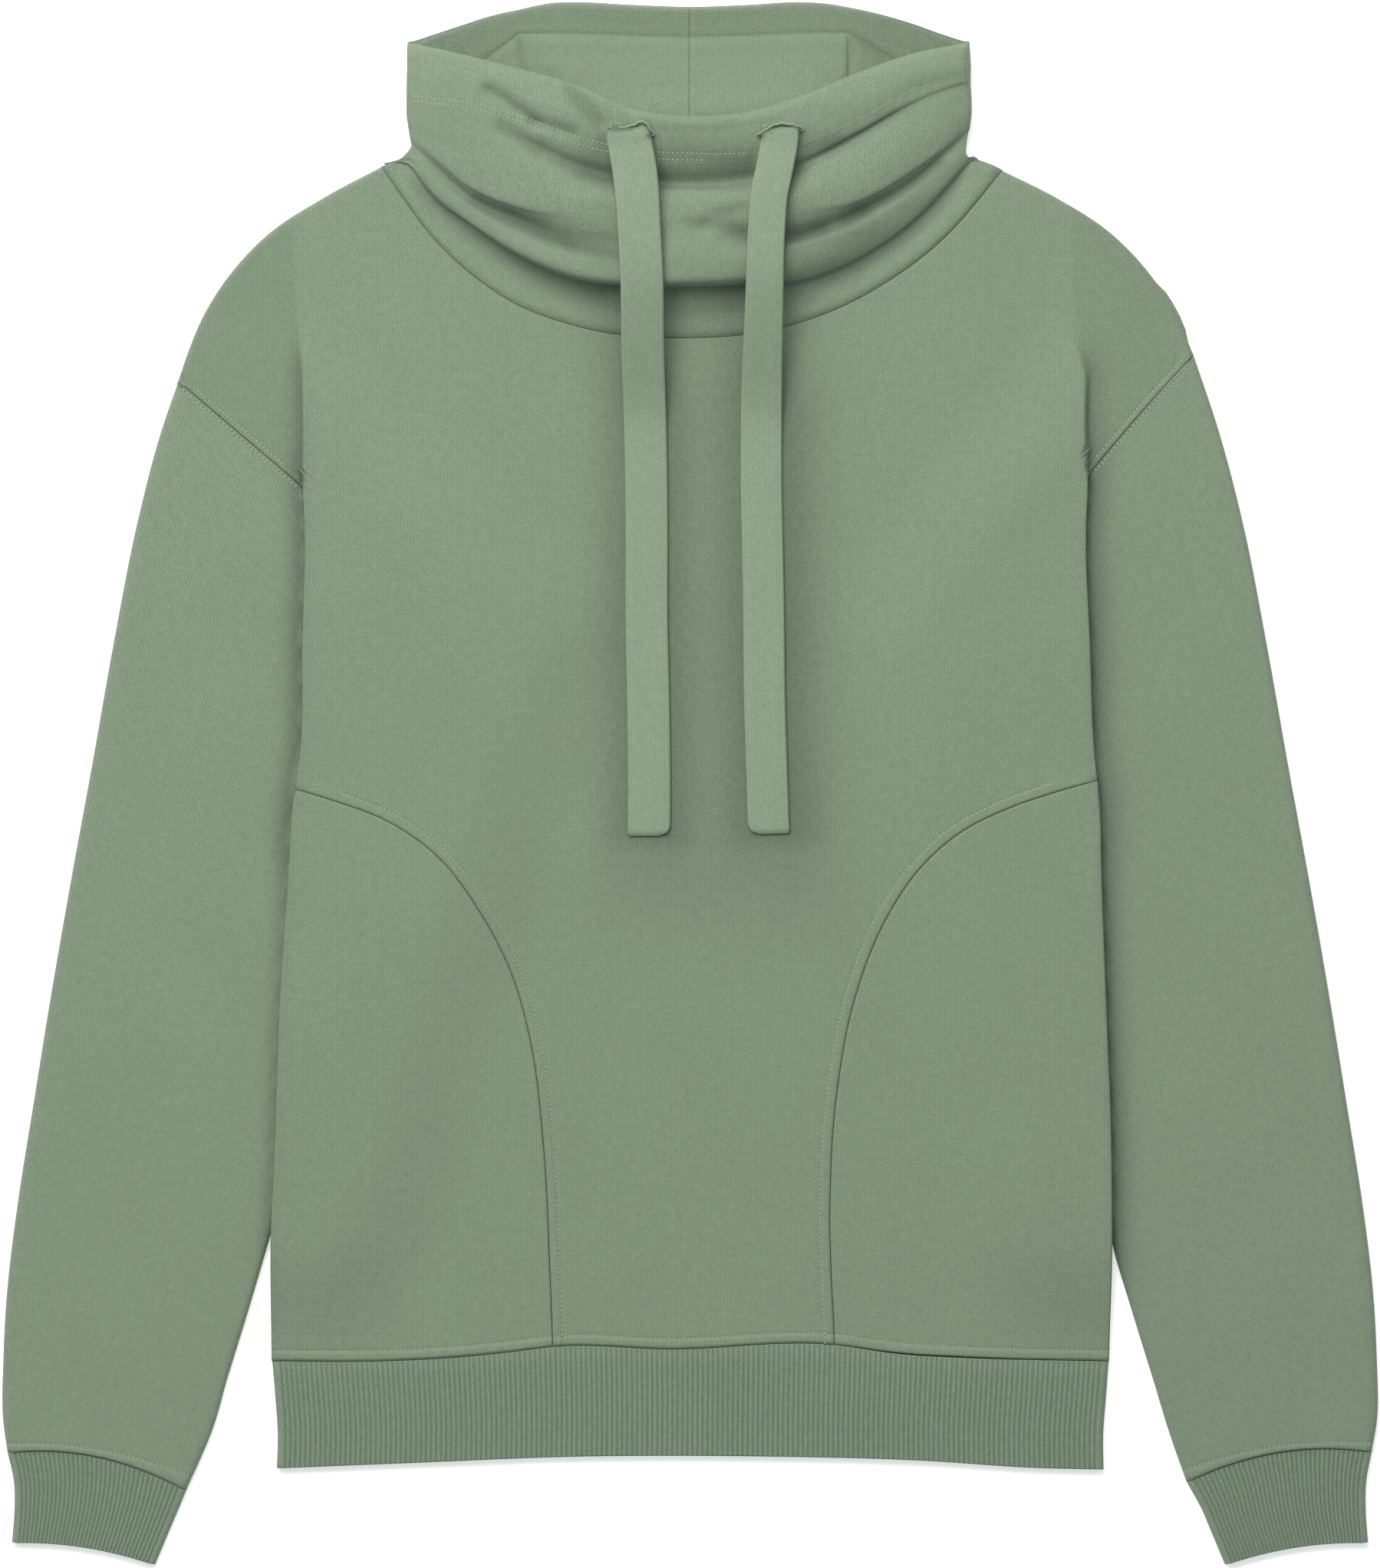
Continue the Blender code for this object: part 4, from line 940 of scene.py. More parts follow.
def surface(tree, colour, normal, roughness, **inputs):
    """The shader that the material ends in."""
    shader = add_node(
        tree, "ShaderNodeBsdfPrincipled",
        inputs={"Base Color": colour, "Normal": normal, "Roughness": roughness, **inputs},
    )
    add_node(tree, "ShaderNodeOutputMaterial", {"Surface": shader.outputs["BSDF"]})


def cotton(tree, colour, normal, roughness, sheen=0.12):
    """No gloss to speak of, and a soft light edge from loose fibres."""
    surface(tree, with_painted_shade(tree, colour), normal, roughness, **{
        "IOR": 1.45, "Specular IOR Level": 0.2, "Sheen Weight": sheen, "Sheen Roughness": 0.5})


def knit(name, light, dark, wale, contrast, bump, roughness):
    """The face of a knit, on the flat cloth in millimetres: wales, grain and cloudy dye."""
    tree = new_material(name)
    place = add_node(tree, "ShaderNodeUVMap", uv_map="Cloth").outputs["UV"]
    wales = add_node(
        tree, "ShaderNodeTexWave", wave_type="BANDS", bands_direction="X",
        inputs={"Vector": place, "Scale": WAVE / wale, "Distortion": 1.6, "Detail": 1.0, "Detail Scale": 1.2},
    ).outputs["Fac"]
    fibres, flecks, clouds = (
        noise(tree, place, *kind, noise_dimensions="2D")
        for kind in ((GRAIN, 2.0, 0.6), (GRAIN * 4.5, 2.0, 0.5), (55.0, 3.0, 0.5))
    )
    relief = weighted(tree, wales, 0.16, fibres)
    dyed = weighted(tree, clouds, 0.1, weighted(tree, flecks, 0.3, relief))
    share = add_node(
        tree, "ShaderNodeMapRange",
        inputs={"Value": dyed, "From Min": MIDDLE_TONE - contrast, "From Max": MIDDLE_TONE + contrast},
    ).outputs["Result"]
    colour = blended(tree, share, (*dark, 1.0), (*light, 1.0))
    cotton(tree, colour, raised(tree, relief, bump, 0.25), roughness)


def make_materials(settings):
    """The cloths and the thread."""
    # Cotton sweatshirt fleece, its smooth jersey face out: fine upright wales and a dry, dusty look. The
    # wales are drawn a little coarser than the real 0.8 mm so that they show.
    knit(FLEECE, settings.fleece_light, settings.fleece_dark, 1.6, 0.18, 0.6, 0.9)
    # Cotton and elastane rib knit: deeper in its grooves, with the same dry yarn.
    knit(RIB, settings.rib_light, settings.rib_dark, 0.9, 0.2, 0.6, 0.92)
    # Self-fabric drawcord, folded and topstitched: the fleece a little lighter, partly its own tone and
    # partly painted light that makes up for the shade on its slopes.
    knit(CORD, settings.cord_light, settings.cord_dark, 1.6, 0.18, 0.5, 0.88)
    # Spun sewing thread, dyed to match: tight and a little smoother than the knit.
    tree = new_material(THREAD)
    twist = noise(tree, add_node(tree, "ShaderNodeTexCoord").outputs["Object"], 0.5 * MM, 2.0)
    dark = (*[0.8 * part for part in settings.thread], 1.0)
    colour = blended(tree, twist, dark, (*settings.thread, 1.0))
    cotton(tree, colour, raised(tree, twist, 0.3, 0.05), 0.7, 0.1)


# ---------------------------------------------------------------- operators

class SWEATSHIRT_OT_camera(bpy.types.Operator):
    """Make the camera, straight above the garment, with a long lens"""

    bl_idname = "sweatshirt.make_camera"
    bl_label = "Camera"

    def execute(self, context):
        frame_height = 2044 * 0.4 * MM
        exact_height = 0.008
        data = bpy.data.cameras.new("Camera")
        data.lens, data.sensor_width = 400.0, 36.0
        data.clip_start, data.clip_end = 0.1, 100.0
        camera = bpy.data.objects.new("Camera", data)
        context.scene.collection.objects.link(camera)
        camera.location = (0.0, 0.0, frame_height * data.lens / data.sensor_width + exact_height)
        context.scene.camera = camera
        return {"FINISHED"}


class SWEATSHIRT_OT_materials(bpy.types.Operator):
    """Make the cloths and the thread"""

    bl_idname = "sweatshirt.make_materials"
    bl_label = "Materials"

    def execute(self, context):
        make_materials(context.scene.sweatshirt)
        return {"FINISHED"}


SIDES = ((-1, "left"), (1, "right"))
CORD_EDGE = 1.3        # radius of a drawcord's folded edges
CORD_STITCH = 1.9      # from those edges to their topstitching
CORD_CORNER = 6.0      # radius of the soft corner of its end, and of the sharp one
SHARP_CORNER = 0.8
CORD_END = 1.2         # radius of its end as seen from the side
CORD_WIDER = {
    # how much wider it lies at each edge, lower down and at the top; y where that changes, over how far
    -1: (0.7, 1.1, (290.0, 25.0)), 1: (0.4, -0.8, (180.0, 100.0)),
}
CORD_SHARES = (0.0, 0.02, 0.06, 0.1, 0.14, 0.2, 0.35, 0.5, 0.65, 0.8, 0.86, 0.9, 0.94, 0.98, 1.0)


def cord_frame(side):
    """The middle line of a drawcord, and the way across it and up from it."""
    route = np.array(CORD_ROUTES[side])
    into_slit = route[0] + np.array([(0.1, 1.4, -6.0), (0.1, 1.1, -3.0)])
    middle = evenly(np.concatenate([into_slit, route]), 1.6)
    ahead = unit(np.gradient(middle, axis=0))
    up = unit(np.cross(ahead, (-1.0, 0.0, 0.0)))
    across = np.cross(ahead, up)
    return middle, across * np.sign(across[:, :1]), up


def rounded(distance, radius):
    """How thick a rounded edge is at this distance from it, as a share of its full thickness."""
    return np.sqrt(np.clip(1 - ((radius - np.minimum(distance, radius)) / radius) ** 2, 0.0, 1.0))


def make_cord(side, settings):
    """A flat drawcord, folded from cloth and stitched down both edges, with a soft corner at its end."""
    width, thickness = in_mm(settings.cord_width), in_mm(settings.cord_thickness)
    middle, across, up = cord_frame(side)
    from_top = distances(middle)
    from_end = from_top[-1] - from_top
    shares = np.array(CORD_SHARES)
    edge = np.minimum(shares, 1 - shares) * width
    half = thickness / 2 * rounded(edge, CORD_EDGE) - 0.3 * bell(edge - CORD_STITCH, 0.6)
    back = slice(-2, 0, -1)
    section = np.concatenate([np.stack([shares, half], axis=1), np.stack([shares, -half], axis=1)[back]])
    top = edge_drop(from_top - 3.0, 3.4) * (from_top < 7.0)
    turned = 0.8 * edge_drop(from_top - 6.2, 5.4) if side < 0 else top
    wider, at_top, where = CORD_WIDER[side]
    wider = mix(wider, at_top, over(middle[:, 1], where))
    # The inner corner of the end is soft, and the outer one sharp.
    left_in = edge_drop(from_end, CORD_CORNER if side > 0 else SHARP_CORNER) + turned - wider
    right_in = edge_drop(from_end, CORD_CORNER if side < 0 else SHARP_CORNER) + top - wider
    offset = (left_in - width / 2)[:, None] + (width - left_in - right_in)[:, None] * section[:, 0]
    lift = section[:, 1] * np.maximum(rounded(from_end, CORD_END), 0.02)[:, None]
    points = middle[:, None] + across[:, None] * offset[..., None] + up[:, None] * lift[..., None]
    return points[:, ::-1]


class SWEATSHIRT_OT_cords(bpy.types.Operator):
    """Make the two flat drawcords"""

    bl_idname = "sweatshirt.make_cords"
    bl_label = "Drawcords"

    def execute(self, context):
        settings = context.scene.sweatshirt
        for side, name in SIDES:
            name = "drawcord_" + name
            points = make_cord(side, settings)
            # Painted shadow on the drawcord right under the lip of its slit.
            under_lip = np.maximum(distance_to(points[..., :2], SLIT_LIPS[side]) - 0.6, 0.0)
            piece = make_sheet(name + "_cloth", points, flat_pattern(points), CORD, around=True,
                               shade=PAINTED_LIP_SHADE * bell(under_lip, 1.3))
            put_on(piece, "cord", name)
            builder = bmesh.new()
            middle, across, up = cord_frame(side)
            lift = in_mm(settings.cord_thickness) / 2 - 0.3
            seen = slice(4, -2)
            for row in (-1, 1):
                path = middle + across * row * (in_mm(settings.cord_width) / 2 - CORD_STITCH) + up * lift
                stitch_row(builder, path[seen], up[seen], in_mm(settings.stitch_pitch))
            stitches = finish_stitches(name + "_stitches", builder, "cord")
            path = middle * MM
        return {"FINISHED"}


def front_middle_points():
    """Rows of points for the middle of the front, from the hem to the neck."""
    outline = (
        # line up a side, and where its points are closer together at its start and at its end
        (CURVED_SEAM.get, BY_SEAM, EVEN),
        (upper_side, EVEN, BY_FOLD_START),
        (seen_armhole, BY_FOLD_START, EVEN),
        (shoulder_line, EVEN, BY_NECK),
    )
    parts = [matched(line(-1), line(1), near_start, near_end) for line, near_start, near_end in outline]
    left, right = (
        np.concatenate([part[n][:-1] for part in parts[:-1]] + [parts[-1][n]]) for n in (0, 1)
    )
    share = columns_by_folds(left, right)
    side_y = (left[:, 1] + right[:, 1]) / 2
    x, straight = rows_across(left, right, share)
    neck_x, neck_straight = (mix(NECK_POINT[-1][n], NECK_POINT[1][n], share) for n in (0, 1))
    sag = (neck_straight - neck_y(neck_x)) / ((NECK_POINT[-1][1] + NECK_POINT[1][1]) / 2 - neck_y(1.0))
    y = straight + (table_flow(MIDDLE_OF_ROW, side_y) - side_y)[:, None] * sag
    near_hem = 1 - soft((side_y + 293.0) / 30.0)
    y += near_hem[:, None] * (hem_y(x) - y)[:1]
    return np.stack([x, y], axis=-1)


def front_side_points(side):
    """Rows of points for a lower side of the front, from the hem up to where its seam meets the side."""
    left, right = matched(lower_side(side), CURVED_SEAM[side], BY_SEAM)[::-side]
    width = np.maximum(np.linalg.norm(right - left, axis=1), 0.01)
    squeeze = np.minimum(1.0, width / (2.4 * BY_SEAM[-1]))
    x, y = rows_across(left, right, columns_across(width / squeeze, 36))
    near_hem = 1 - soft((y[:, :1] - HEM_CORNER) / 30.0)
    y += near_hem * (hem_y(x) - y)[:1]
    return np.stack([x, y], axis=-1)


class SWEATSHIRT_OT_front(bpy.types.Operator):
    """Make the front: its middle, and the two lower sides under the curved seams"""

    bl_idname = "sweatshirt.make_front"
    bl_label = "Front"

    def execute(self, context):
        wall = in_mm(context.scene.sweatshirt.cloth_wall)
        flat = front_middle_points()
        # The middle of the front also gets painted shade beside the drawcords.
        middle = self.panel("front_middle_cloth", "front_center", flat, front_edges(), wall,
                            painted_cord_shade(flat[..., 0], flat[..., 1]))
        for side, name in SIDES:
            node = "front_side_" + name
            piece = self.panel(node + "_cloth", node, front_side_points(side), side_edges(side), wall)
        return {"FINISHED"}

    def panel(self, name, node, flat, edges, wall, shade=0.0):
        """A panel on the form of the front."""
        # Painted shade by the side folds.
        shade = shade + painted_fold_shade(flat[..., 0], flat[..., 1])
        points = shaped(flat, front_height, edges)
        return put_on(make_sheet(name, points, flat, FLEECE, wall, shade=shade), "fleece", node)


SHOULDER_STEPS = 20
BACK_EDGE = 2.4        # radius of the back's edges at its sides and shoulders


def close_then_even(near, length, count):
    """Shares of a length, close together at its start."""
    near = np.array(near) / length
    return np.concatenate([near, np.linspace(near[-1], 1, count)[1:]])[:, None, None]


def back_points():
    """Rows of points for the back, how many are under the armholes, their height and the cut faces."""
    lip, between = 26, 40
    lower, upper = [], []
    for side in (-1, 1):
        hole = np.concatenate([[slit_end(side)], armhole_line(side)])
        fold = FOLD_START[side]
        hidden = [p for p in hole if side * p[0] < side * fold[0] - 3.0] + [fold]
        lower.append(in_parts(hidden, lip)[::side])
        upper.append(in_parts(hole, lip)[::side])
    middle = mix(slit_end(-1), slit_end(1), np.linspace(0.0, 1.0, between + 2)[1:-1, None])
    low_top, high_base = (np.concatenate([left, middle, right]) for left, right in (lower, upper))
    count = len(low_top)
    neck_x = np.linspace(NECK_POINT[-1][0], NECK_POINT[1][0], count - 2 * SHOULDER_STEPS)[1:-1]
    neck = np.stack([neck_x, back_neck_y(neck_x)], axis=1)
    left, right = (in_parts(shoulder_line(side), SHOULDER_STEPS) for side in (-1, 1))
    top = np.concatenate([left, neck, right[::-1]])
    hem = hem_line(side_x(-1, HEM_CORNER), side_x(1, HEM_CORNER), count)
    low = mix(hem, low_top, close_then_even(BY_SEAM, 340.0, 60))
    high = mix(top, high_base, close_then_even(BY_NECK, 150.0, 34))[::-1]
    for side, end in ((-1, 0), (1, -1)):
        shift = side_x(side, low[:, end, 1]) - low[:, end, 0]
        low[..., 0] += shift[:, None] * soft((side * np.linspace(-1, 1, count) - 0.5) / 0.5)
    flat = np.concatenate([low, high])
    # The two lips of a slit start at the same place, and each takes the height of its own side.
    nudge, cuts = np.zeros(flat.shape[:2]), np.zeros(flat.shape[:2], bool)
    last = len(low) - 1
    for row, way in ((last, -0.05), (last + 1, 0.05)):
        nudge[row, :lip] = nudge[row, -lip:] = way
    cuts[last, :lip] = cuts[last, -lip - 1:] = True
    return flat, len(low), back_under(flat[..., 0], flat[..., 1] + nudge), cuts


def back_neck_y(x):
    """The neck seam of the back."""
    left, right = NECK_POINT[-1], NECK_POINT[1]
    share = np.clip((x - left[0]) / (right[0] - left[0]), 0.0, 1.0)
    return left[1] + (right[1] - left[1]) * share - BACK_NECK_DROP * 4 * share * (1 - share)


class SWEATSHIRT_OT_back(bpy.types.Operator):
    """Make the back, in one piece, with the armholes that the sleeves leave through"""

    bl_idname = "sweatshirt.make_back"
    bl_label = "Back"

    def execute(self, context):
        flat, lower_rows, height, cuts = back_points()
        rise = np.zeros_like(height)
        for side in (-1, 1):
            fold = body_side(side, HEM_CORNER, FOLD_START[side][1])
            by_fold = edge_drop(distance_to(flat, fold), BACK_EDGE)
            by_fold[lower_rows:] = 0.0
            by_shoulder = edge_drop(distance_to(flat, evenly(shoulder_line(side), 8.0)), BACK_EDGE)
            rise = np.maximum(rise, np.maximum(by_fold, by_shoulder))
        points = np.concatenate([flat, (height + rise)[..., None]], axis=-1)
        wall = in_mm(context.scene.sweatshirt.cloth_wall)
        piece = make_sheet("back_cloth", points, flat, FLEECE, wall, facing_down=True, cuts=cuts)
        put_on(piece, "fleece", "back")
        return {"FINISHED"}


def on_side(side, *rows):
    """Rows of a sleeve or cuff on its own side: x and y of the outer and inner edge, and bow."""
    return np.array(rows) * (side, 1, side, 1, 1)


def respaced(rows, step, near_start, near_end):
    """Rows of a tube an even step apart down its outer edge, but for those near its ends."""
    down = distances(rows[:, :2])
    return flow(down, rows, spaced(down[-1], step, near_start, near_end))


def sleeve_rows(side):
    """End points and bow of each row of a sleeve, from the armhole to the cuff."""
    bow = ARMHOLE_BOW[side]
    upper = [(*SHOULDER_TIP[side], *UNDERARM[side], bow)]
    for outer_x, outer_y, share in SLEEVE_UPPER_ROWS:
        hidden = mix(np.array(UNDERARM[side]), np.array(SLEEVE_SHOWS[side]), share)
        upper.append((side * outer_x, outer_y, *hidden, bow * max(0.0, 1 - share * 4)))
    rows = np.concatenate([upper, on_side(side, *SLEEVE_LOWER_ROWS, CUFF_SEAM[side])])
    return respaced(rows, 4.2, BY_SEAM, BY_SEAM)


SLEEVE_STITCH = 1.6    # from the armhole to its topstitching
CUFF_STITCH = 4.4      # from the cuff to the topstitching of the sleeve


class SWEATSHIRT_OT_sleeves(bpy.types.Operator):
    """Make the two sleeves, flattened tubes"""

    bl_idname = "sweatshirt.make_sleeves"
    bl_label = "Sleeves"

    def execute(self, context):
        wall = in_mm(context.scene.sweatshirt.cloth_wall)
        for side, name in SIDES:
            rows = sleeve_rows(side)
            points, _, lift = flattened_tube(rows, SLEEVE_HEIGHT, TUBE_COLUMNS)
            from_top = distances(rows[:, :2])
            from_cuff = from_top[-1] - from_top
            relief = seam_relief(from_top, SLEEVE_STITCH, 0.2) + seam_relief(from_cuff, CUFF_STITCH, 0.7)
            relief = relief - edge_drop(from_top, 0.8) - edge_drop(from_cuff, 0.8)
            uneven = 0.3 * ripple(points[..., 0], points[..., 1], 70.0, 9)
            fade = soft(from_top / 20.0) * soft(from_cuff / 20.0)
            points[..., 2] += np.clip(lift, 0, 1) * (relief[:, None] + uneven * fade[:, None])
            # Painted shade on the sleeve beside the body's fold.
            shade = painted_fold_shade(points[..., 0], np.minimum(points[..., 1], 150.0)) * (lift > 0)
            piece = make_sheet("sleeve_" + name + "_cloth", points, flat_pattern(points), FLEECE, wall,
                               around=True, shade=shade)
            put_on(piece, "fleece", "sleeve_" + name)
        return {"FINISHED"}


RIB_BY_SEAM = (0.0, 0.4, 1.0, 1.8, 3.0, 5.0)


class SWEATSHIRT_OT_ribs(bpy.types.Operator):
    """Make the ribbed hem band and cuffs"""

    bl_idname = "sweatshirt.make_ribs"
    bl_label = "Rib bands"

    def execute(self, context):
        settings = context.scene.sweatshirt
        pitch = in_mm(settings.rib_pitch)
        for side, name in SIDES:
            rows = respaced(on_side(side, CUFF_SEAM[side], *CUFF_ROWS), 4.0, RIB_BY_SEAM, (0.0, 0.5, 1.2))
            ribs = round(math.dist(rows[0, 2:4], rows[0, :2]) / pitch)
            tube = flattened_tube(rows, CUFF_HEIGHT, ribs * 8 + 1)
            piece = self.band(settings, "cuff_" + name + "_knit", "cuff_" + name, tube, ribs,
                              distances(rows[:, :2]))
        down = np.array([*RIB_BY_SEAM, *np.linspace(8.0, 54.0, 14), 55.4, 56.2])
        share = down / down[-1]
        left, right = table_flow(HEM_ENDS, share), table_flow(HEM_ENDS, share, 2)
        ribs = round((right[0] - left[0]) / pitch)
        rows = np.stack([left, share, right, share, share * 0], axis=1)
        tube = flattened_tube(rows, HEM_HEIGHT, ribs * 6 + 1)
        x = tube[0][..., 0]
        tube[0][..., 1] = mix(hem_y(x), table_flow(HEM_EDGE, x), share[:, None])
        piece = self.band(settings, "hem_knit", "hem_rib", tube, ribs, down, 0.9 * (1 - soft(down / 6.0)))
        return {"FINISHED"}

    def band(self, settings, name, node, tube, ribs, from_seam, lower=0.0):
        """A band with its ribs as ridges on both faces, and its upper face lower by the seam."""
        points, across, lift = tube
        fade = soft(from_seam / 1.2)[:, None]
        groove = (1 - np.sqrt(0.5 + 0.5 * np.cos(2 * math.pi * across * ribs))) * fade
        middle = (points[..., 2].max() + points[..., 2].min()) / 2
        points[..., 2] -= np.sign(points[..., 2] - middle) * in_mm(settings.rib_depth) * groove
        points[..., 2] -= np.clip(lift, 0, 1) * (edge_drop(from_seam, 0.8) + lower)[:, None]
        # The grooves get painted shade.
        piece = make_sheet(name, points, flat_pattern(points), RIB, in_mm(settings.rib_wall), around=True,
                           shade=PAINTED_GROOVE_SHADE * groove)
        return put_on(piece, "rib", node)


# ---------------------------------------------------------------- collar

FRONT_COLUMNS = 221
TURN_COLUMNS = 6
SEAM_LINES = (
    # name, how far inside the neck seam, height
    ("seam", 0.0, 4.6), ("by seam", 1.2, 5.5),
)
RIM_END = {-1: 386.6, 1: 386.9}      # y of the ends of the rim
BACK_LIFT = {"casing crest": 1.0, "rim ridge": 3.2, "rim": 4.6}     # of the back's lower face
SIDE_ROUND = 0.5       # how far the collar's sides bulge, as a share of half their height
TURN_OUT = 4.0         # how much of that bulge is past the table's sides
INNER_ROUND = 0.2
SIDE_WALL = 1.6        # of the collar, at its sides
SEAM_HALF = 159.0      # half the width of the inner seam
INNER_TOP = 384.0
LEDGE_CREASES = {-89.0: (0.8, 1.4), 83.0: (1.1, 1.0)}    # x of the panel's two creases: depth, width
PAINTED_COLLAR_SHADE = 0.045   # painted shade of a fold: how much darker its cloth is painted for each millimetre that it lies lower
# the most painted shade that a fold gets
DEEPEST_PAINTED_SHADE = 0.24
PAINTED_BAND_SHADE = 0.11      # painted shade of the casing inside the back, which faces the front
PAINTED_PANEL_SHADE = 0.04     # painted shade of the panel under it
PAINTED_END_SHADE = 0.05       # more painted shade at the two ends, deep in the collar
CASING_ROWS = (
    # how far the casing's rows of stitches are from its seam, and where they go into the fold
    (-1.7, 8.0), (1.5, 30.0),
)


def collar_side_x(side, y):
    return table_flow(COLLAR_SIDE[side], y)


def back_columns():
    """x of the points across the back of the collar, from right to left, as shares of half its width."""
    seam = (0.0, 0.35, 0.7, 1.2, 1.8)
    crease = (0.0, 0.5, 1.2, 2.0)
    left, right = ([x + sign * n for sign in (-1, 1) for n in crease[sign < 0:]] for x in LEDGE_CREASES)
    parts = [
        np.linspace(-143.0, -92.0, 20), left, np.linspace(-86.0, -3.0, 30),
        [sign * n for sign in (-1, 1) for n in seam[sign < 0:]], np.linspace(3.0, 80.0, 28), right,
        np.linspace(86.0, 143.0, 22),
    ]
    return np.sort(np.concatenate(parts))[::-1] / 147.0


def back_rim_y(x):
    return flow(BACK_X, BACK_RIM, x)


def ledge_y(x):
    return np.interp(x, BACK_X, LEDGE)


def collar_ring(front, back, bulge):
    """One ring of the collar: front from left to right, round the side, back, and round again.

    bulge is how far the two sides stand out, as a share of half their height.
    """
    turn = np.linspace(0.0, math.pi, TURN_COLUMNS + 2)[1:-1]
    sides = []
    for end, start, out in ((front[:, -1], back[:, 0], 1), (back[:, -1], front[:, 0], -1)):
        arc = mix(end[:, None], start[:, None], (1 - np.cos(turn))[:, None] / 2)
        arc[..., 0] += out * (np.abs(end[:, 2] - start[:, 2]) / 2 * bulge)[:, None] * np.sin(turn)
        sides.append(arc)
    return np.concatenate([front, sides[0], back, sides[1]], axis=1)


def collar_outer():
    """The outer face of the collar, from its seam to its rim; how far up its rows and the casing are."""
    across = np.linspace(-1.0, 1.0, FRONT_COLUMNS)
    share, back_share = (1 + across) / 2, (1 + back_columns()) / 2
    fronts, backs = [], []
    lines = (*SEAM_LINES, *COLLAR_LINES)
    for name, ys, heights in lines:
        if np.ndim(ys):
            ends_y = ys[0], ys[-1]
            left, right = collar_side_x(-1, ys[0]), collar_side_x(1, ys[-1])
            turns = [max(SIDE_ROUND * end - TURN_OUT, 0.3) for end in (heights[0], heights[-1])]
            x = mix(left + turns[0], right - turns[1], share)
            y, z = flow(COLLAR_X, ys, x), flow(COLLAR_X, heights, x)
        else:
            left, right = NECK_POINT[-1][0] + ys, NECK_POINT[1][0] - ys
            x = mix(left, right, share)
            y = neck_y(x) + ys * (0.8 + soft((np.abs(across) - 0.95) / 0.05))
            z = np.full_like(x, heights)
            ends_y = y[0], y[-1]
        fronts.append(np.stack([x, y, z], axis=1))
        x = mix(left, right, back_share)
        left_up, right_up = (
            (end_y - NECK_POINT[side][1]) / (RIM_END[side] - NECK_POINT[side][1])
            for side, end_y in zip((-1, 1), ends_y)
        )
        y = mix(back_neck_y(x), back_rim_y(x), mix(left_up, right_up, back_share))
        backs.append(np.stack([x, y, np.full_like(x, BACK_LIFT.get(name, 0.0))], axis=1))
    fronts, backs = np.array(fronts), np.array(backs)
    thirds = (FRONT_COLUMNS // 3, FRONT_COLUMNS // 2, -FRONT_COLUMNS // 3)
    down = sum(distances(fronts[:, n]) for n in thirds) / len(thirds)
    casing = down[[line[0] for line in lines].index("casing seam")]
    places = spaced(down[-1], 1.25, (0.0, 0.4, 0.9, 1.6), (0.0, 0.6))
    front, back = flow(down, fronts, places), flow(down, backs, places)
    back[..., 2] = np.maximum(back[..., 2], 0.0)
    x, y = front[..., 0], front[..., 1]
    low = 0.0
    for ax, ay, bx, by, width, depth in COLLAR_CREASES:
        low += depth * bell(distance_to(front[..., :2], [(ax, ay), (bx, by)]), width)
    above = (places - casing)[:, None]
    pucker = 0.22 * bell(above, 5.0) * np.sin(x * 2 * math.pi / 7.3 + 1.3 * np.sin(x / 17.0))
    uneven = 0.35 * ripple(x, y * 1.5, 34.0, 12) * soft(places / 30.0)[:, None]
    rows = 0.3 * (bell(above - 1.5, 0.7) + bell(above + 1.7, 0.7))
    front[..., 2] += (pucker + uneven - rows - low) * soft((1 - np.abs(across)) / 0.12)
    return collar_ring(front, back, SIDE_ROUND), places, casing


